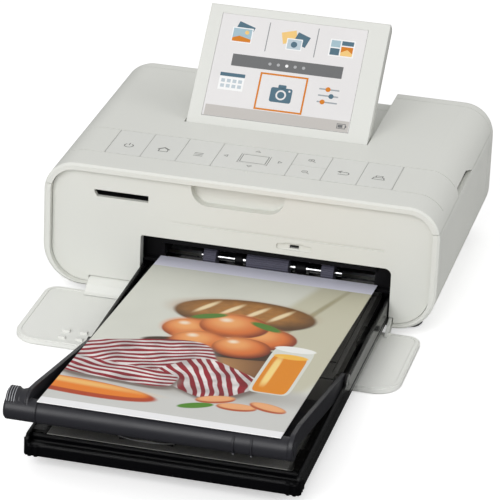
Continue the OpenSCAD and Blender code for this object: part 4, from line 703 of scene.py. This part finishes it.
class PRINTER_OT_picture(bpy.types.Operator):
    """The finished print with a generic still life"""
    bl_idname = "printer.picture"
    bl_label = "Print the picture"

    def execute(self, context):
        looks = context.scene.printer_looks.picture
        # resin-coated paper under a clear laminate: smooth white, a soft gloss over the colours
        material, tree, shader, place = blank("laminated_photo_paper")
        low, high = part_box("print_sheet")
        # millimetres across from the left edge and along from the near edge
        spread = add(tree, "Mapping", {"Vector": place, "Location": (low[0], low[1], 0.0),
                                       "Scale": (MM, (high[1] - low[1]) / PRINT_L, 1.0)},
                     vector_type="TEXTURE").outputs["Vector"]
        flat = add(tree, "VectorMath", {0: spread, 1: (1.0, 1.0, 0.0)},
                   operation="MULTIPLY").outputs["Vector"]
        shown = self.still_life(tree, flat, looks)
        along = add(tree, "SeparateXYZ", {"Vector": flat}).outputs["Y"]
        # the blank margin at the near end and the tear-off strip at the far end
        for edge, code, side in ((MARGIN_END, "F6F6F7", "LESS_THAN"),
                                 (STRIP_START, "EBEBFA", "GREATER_THAN")):
            mask = add(tree, "Math", {0: along, 1: edge}, operation=side).outputs["Value"]
            shown = add(tree, "Mix", {0: mask, 6: shown, 7: linear(code)},
                        data_type="RGBA").outputs[2]
        grain = add(tree, "TexNoise", {"Vector": flat, "Scale": 0.6, "Detail": 2.0})
        bump = add(tree, "Bump", {"Strength": 0.15, "Distance": 0.05 * MM,
                                  "Height": grain.outputs["Fac"]})
        tree.links.new(shown, shader.inputs["Base Color"])
        tree.links.new(bump.outputs["Normal"], shader.inputs["Normal"])
        shader.inputs["Roughness"].default_value = 0.3
        shader.inputs["IOR"].default_value = 1.3
        shader.inputs["Specular IOR Level"].default_value = 0.3
        paint(material, "print_sheet")
        return {"FINISHED"}

    def blob(self, tree, flat, middle, size, turn=0.0, soft=0.04, square=0):
        """Mask of a soft-edged oval, squarer with each step of square."""
        local = add(tree, "Mapping", {"Vector": flat, "Location": (*middle, 0.0),
                                      "Rotation": (0.0, 0.0, math.radians(turn)),
                                      "Scale": (*size, 1.0)},
                    vector_type="TEXTURE").outputs["Vector"]
        for _ in range(square):
            local = add(tree, "VectorMath", {0: local, 1: local},
                        operation="MULTIPLY").outputs["Vector"]
        away = add(tree, "VectorMath", {0: local}, operation="LENGTH").outputs["Value"]
        return add(tree, "MapRange", {"Value": away, "From Min": 1 + soft, "From Max": 1 - soft},
                   interpolation_type="SMOOTHSTEP").outputs["Result"]

    def still_life(self, tree, flat, looks):
        """Fruit in a bowl, a glass of juice and a striped cloth on a pale table by a wall.

        Places and sizes are in mm, across from the left edge and along from the near edge."""
        cloud = add(tree, "TexNoise", {"Vector": flat, "Scale": 0.02, "Detail": 3.0}).outputs["Fac"]
        dark, light = shades(tuple(looks.wall), 0.10)
        shown = add(tree, "Mix", {0: cloud, 6: dark, 7: light}, data_type="RGBA").outputs[2]
        # (colour, mask) of each shape, from the back to the front
        layers = []

        def lay(tint, *oval):
            layers.append((linear(tint) if isinstance(tint, str) else tint,
                           self.blob(tree, flat, *oval)))

        # warmer wall at the right behind a slanting edge
        lay("CBC8B2", (95, 140), (26, 120), -14, 0.2, 1)
        lay("A8A184", (76, 118), (1.6, 60), -14, 0.5)
        # table with the shadow of what stands on it
        along = add(tree, "SeparateXYZ", {"Vector": flat}).outputs["Y"]
        layers.append((tuple(looks.table), add(
            tree, "MapRange", {"Value": along, "From Min": 52.0,
                               "From Max": 44.0}).outputs["Result"]))
        lay("A39F97", (54, 40), (40, 9), 0, 0.9)
        # loaf of bread behind the fruit, its crust slashed
        crumb = add(tree, "TexNoise", {"Vector": flat, "Scale": 0.22, "Detail": 5.0}).outputs["Fac"]
        dark, light = shades(linear("A87338"), 0.45)
        crust = add(tree, "Mix", {0: crumb, 6: dark, 7: light}, data_type="RGBA").outputs[2]
        lay("54361A", (54, 128), (31, 18), 4)
        lay(crust, (52, 131), (27, 13), 4, 0.4)
        for k in range(4):
            lay("F0D9AE", (36 + 11 * k, 132), (1.5, 8), -24, 0.5)
        # bowl, turned from beech
        lay("6A4224", (52, 66), (33, 24), 0, 0.03)
        lay("BD8C58", (46, 64), (22, 17), 12, 0.8)
        lay("3A2312", (52, 84), (32, 8.5), 0, 0.05)
        # peaches, each with its dark side, blush, lit side and gloss
        for x, y, r in ((37, 103, 13), (69, 103, 13.5), (53, 113, 15), (44, 90, 13),
                        (62, 89, 12.5)):
            for tint, move, size, soft in (("7A2A12", (0, 0), 1.0, 0.04),
                                           ("DE7430", (-1.2, 1.4), 0.88, 0.3),
                                           ("F5AC68", (-3.4, 3.6), 0.52, 0.8),
                                           ("FDE9CF", (-5.0, 6.0), 0.15, 0.9)):
                lay(tint, (x + move[0], y + move[1]), (r * size, r * size * 0.94), 0, soft)
        lay("4F7F28", (40, 121), (8.0, 2.8), 32, 0.2)
        lay("4F7F28", (66, 117), (8.0, 2.8), -28, 0.2)
        # striped cloth thrown over the rim, in three folds; the stripes bend round a hub
        drift = add(tree, "TexNoise", {"Vector": flat, "Scale": 0.05, "Detail": 1.0}).outputs["Fac"]
        fold = add(tree, "TexNoise", {"Vector": flat, "Scale": 0.10, "Detail": 2.0}).outputs["Fac"]
        shade = add(tree, "MapRange", {"Value": fold, "From Min": 0.35, "From Max": 0.68,
                                       "To Min": 0.6, "To Max": 1.05}).outputs["Result"]
        for hub, middle, size, lean in (((70, -30), (24, 62), (33, 21), 22),
                                        ((-10, 20), (57, 50), (20, 17), -34),
                                        ((30, 120), (20, 44), (26, 9), -6)):
            away = add(tree, "VectorMath", {0: flat, 1: (*hub, 0.0)}, operation="DISTANCE")
            bent = add(tree, "Math", {0: drift, 1: 9.0, 2: away.outputs["Value"]},
                       operation="MULTIPLY_ADD").outputs["Value"]
            turn = add(tree, "Math", {0: bent, 1: 2 * math.pi * MM / looks.stripe},
                       operation="MULTIPLY").outputs["Value"]
            wave = add(tree, "Math", {0: turn}, operation="SINE").outputs["Value"]
            bands = add(tree, "MapRange", {"Value": wave, "From Min": -0.3,
                                           "From Max": 0.1}).outputs["Result"]
            dyed = add(tree, "Mix", {0: bands, 6: linear("F3ECEA"), 7: tuple(looks.cloth)},
                       data_type="RGBA").outputs[2]
            weave = add(tree, "VectorMath", {0: dyed, 1: shade},
                        operation="MULTIPLY").outputs["Vector"]
            lay("7B6F68", (middle[0] + 2, middle[1] - 3), size, lean, 0.2, 1)
            lay(weave, middle, size, lean, 0.04, 1)
        # half a melon at the lower left edge
        lay("B5421A", (10, 22), (34, 8.5), -5, 0.05)
        lay("EE8420", (9, 24), (31, 6.2), -5, 0.08)
        lay("F8C070", (8, 27), (26, 2.4), -5, 0.7)
        # a tumbler of juice: glass, its rim, juice, its top and a long gloss
        lay("DFE1D8", (84, 70), (8.8, 27), 0, 0.04, 2)
        lay("F6F7F3", (84, 95.5), (8.8, 3.4), 0, 0.08)
        lay("E88C0C", (84, 66), (7.4, 22), 0, 0.04, 2)
        lay("FBC24A", (84, 86.6), (7.4, 2.8), 0, 0.1)
        lay("FFDE8A", (80, 68), (1.5, 16), 0, 0.6, 1)
        # three peach slices, each with its skin below, and a leaf
        for x, y, lean in ((66, 29, 24), (76, 24, 6), (88, 28, -18)):
            lay("B9562C", (x, y), (8.2, 4.0), lean, 0.08)
            lay("F0AE78", (x, y + 1), (7.6, 3.0), lean, 0.2)
        lay("4F8A1E", (60, 20), (7.5, 2.8), 28, 0.1)
        for tint, mask in layers:
            shown = add(tree, "Mix", {0: mask, 6: shown, 7: tint}, data_type="RGBA").outputs[2]
        return shown


class PRINTER_OT_stage(bpy.types.Operator):
    """Floor, lamps, room light and camera"""
    bl_idname = "printer.stage"
    bl_label = "Set up the studio"

    def execute(self, context):
        looks = context.scene.printer_looks.studio
        scene = context.scene
        scene.view_settings.view_transform = "Standard"
        mesh = bpy.data.meshes.new("studio_floor")
        mesh.from_pydata([(x * FLOOR_R, y * FLOOR_R, 0)
                          for x, y in ((-1, -1), (1, -1), (1, 1), (-1, 1))], [], [(0, 1, 2, 3)])
        floor = bpy.data.objects.new("studio_floor", mesh)
        scene.collection.objects.link(floor)
        mesh.materials.append(self.paper_sweep(tuple(looks.floor)))
        floor.visible_glossy = False
        self.lamp("main_lamp", MAIN_AT, MAIN_W, looks.main)
        self.lamp("side_lamp", SIDE_AT, SIDE_W, looks.side)
        world = bpy.data.worlds.new("room_light")
        world.use_nodes = True
        tree = world.node_tree
        tree.nodes.clear()
        # the room is dark below table height, so that upright glossy sides stay deep
        way = add(tree, "SeparateXYZ", {"Vector": add(tree, "TexCoord").outputs["Generated"]})
        rise = add(tree, "MapRange", {"Value": way.outputs["Z"], "From Min": -0.05,
                                      "From Max": 0.25, "To Min": 0.04,
                                      "To Max": looks.room}).outputs["Result"]
        path = add(tree, "LightPath")
        plain = add(tree, "Background", {"Color": linear("FFFFFF"), "Strength": rise})
        seen = add(tree, "Background", {"Color": linear("FFFFFF"), "Strength": 1.0})
        mix = add(tree, "MixShader", {0: path.outputs["Is Camera Ray"], 1: plain.outputs[0],
                                      2: seen.outputs[0]})
        add(tree, "OutputWorld", {"Surface": mix.outputs[0]})
        scene.world = world
        self.camera(scene)
        return {"FINISHED"}

    def paper_sweep(self, tint):
        """Background paper: matt and faintly fibrous, and white where nothing shades it."""
        material, tree, shader, place = blank("background_paper_white")
        fibre = add(tree, "TexNoise", {"Vector": place, "Scale": 1 / (4 * MM), "Detail": 4.0})
        dark, light = shades(tint, 0.01)
        tone = add(tree, "Mix", {0: fibre.outputs["Fac"], 6: dark, 7: light}, data_type="RGBA")
        tree.links.new(tone.outputs[2], shader.inputs["Base Color"])
        shader.inputs["Roughness"].default_value = 0.9
        shader.inputs["Specular IOR Level"].default_value = 0.2
        path = add(tree, "LightPath")
        shader.inputs["Emission Color"].default_value = (1, 1, 1, 1)
        lift = add(tree, "Math", {0: path.outputs["Is Camera Ray"], 1: 0.45}, operation="MULTIPLY")
        tree.links.new(lift.outputs["Value"], shader.inputs["Emission Strength"])
        return material

    def lamp(self, name, place, size, power):
        """A square soft lamp that faces the printer."""
        light = bpy.data.lights.new(name, "AREA")
        light.size = size
        light.energy = power
        obj = bpy.data.objects.new(name, light)
        obj.location = place
        ahead = Vector(LAMP_TARGET) - Vector(place)
        obj.rotation_euler = ahead.to_track_quat("-Z", "Y").to_euler()
        bpy.context.scene.collection.objects.link(obj)

    def camera(self, scene):
        """The photograph's camera: a long lens above the right front corner."""
        data = bpy.data.cameras.new("view")
        data.sensor_width = SENSOR_W
        data.lens = LENS
        data.clip_start = 0.01
        data.clip_end = 30.0
        obj = bpy.data.objects.new("view", data)
        ahead = Vector((math.sin(YAW) * math.cos(PITCH), math.cos(YAW) * math.cos(PITCH),
                        -math.sin(PITCH)))
        right = ahead.cross(Vector((0, 0, 1))).normalized()
        up = right.cross(ahead)
        turn = Matrix((right * math.cos(ROLL) + up * math.sin(ROLL),
                       up * math.cos(ROLL) - right * math.sin(ROLL), -ahead)).transposed()
        obj.matrix_world = Matrix.Translation(at(*CAMERA_AT)) @ turn.to_4x4()
        scene.collection.objects.link(obj)
        scene.camera = obj


class PRINTER_PT_sidebar(bpy.types.Panel):
    """Lists the steps that dress the printer, and their settings"""
    bl_label = "Photo printer"
    bl_idname = "PRINTER_PT_sidebar"
    bl_space_type = "VIEW_3D"
    bl_region_type = "UI"
    bl_category = "Photo printer"

    def draw(self, context):
        looks = context.scene.printer_looks
        for group in (looks.casing, looks.cassette, looks.picture, looks.studio):
            box = self.layout.box()
            for key in group.__annotations__:
                box.prop(group, key)
        for step in STEPS:
            self.layout.operator(step.bl_idname)


STEPS = (PRINTER_OT_stage, PRINTER_OT_casing, PRINTER_OT_screen, PRINTER_OT_keys, PRINTER_OT_works,
         PRINTER_OT_cassette, PRINTER_OT_picture)
CLASSES = (CasingLooks, CassetteLooks, PictureLooks, StudioLooks, PrinterLooks, *STEPS,
           PRINTER_PT_sidebar)


def register():
    """Adds the classes, and the looks to the scene."""
    for cls in CLASSES:
        bpy.utils.register_class(cls)
    bpy.types.Scene.printer_looks = PointerProperty(type=PrinterLooks)


def unregister():
    """Takes both away again."""
    del bpy.types.Scene.printer_looks
    for cls in reversed(CLASSES):
        bpy.utils.unregister_class(cls)


def main():
    """Registers the add-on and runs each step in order."""
    register()
    bpy.ops.printer.stage()
    bpy.ops.printer.casing()
    bpy.ops.printer.screen()
    bpy.ops.printer.keys()
    bpy.ops.printer.works()
    bpy.ops.printer.cassette()
    bpy.ops.printer.picture()
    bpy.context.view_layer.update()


if __name__ == "__main__":
    main()
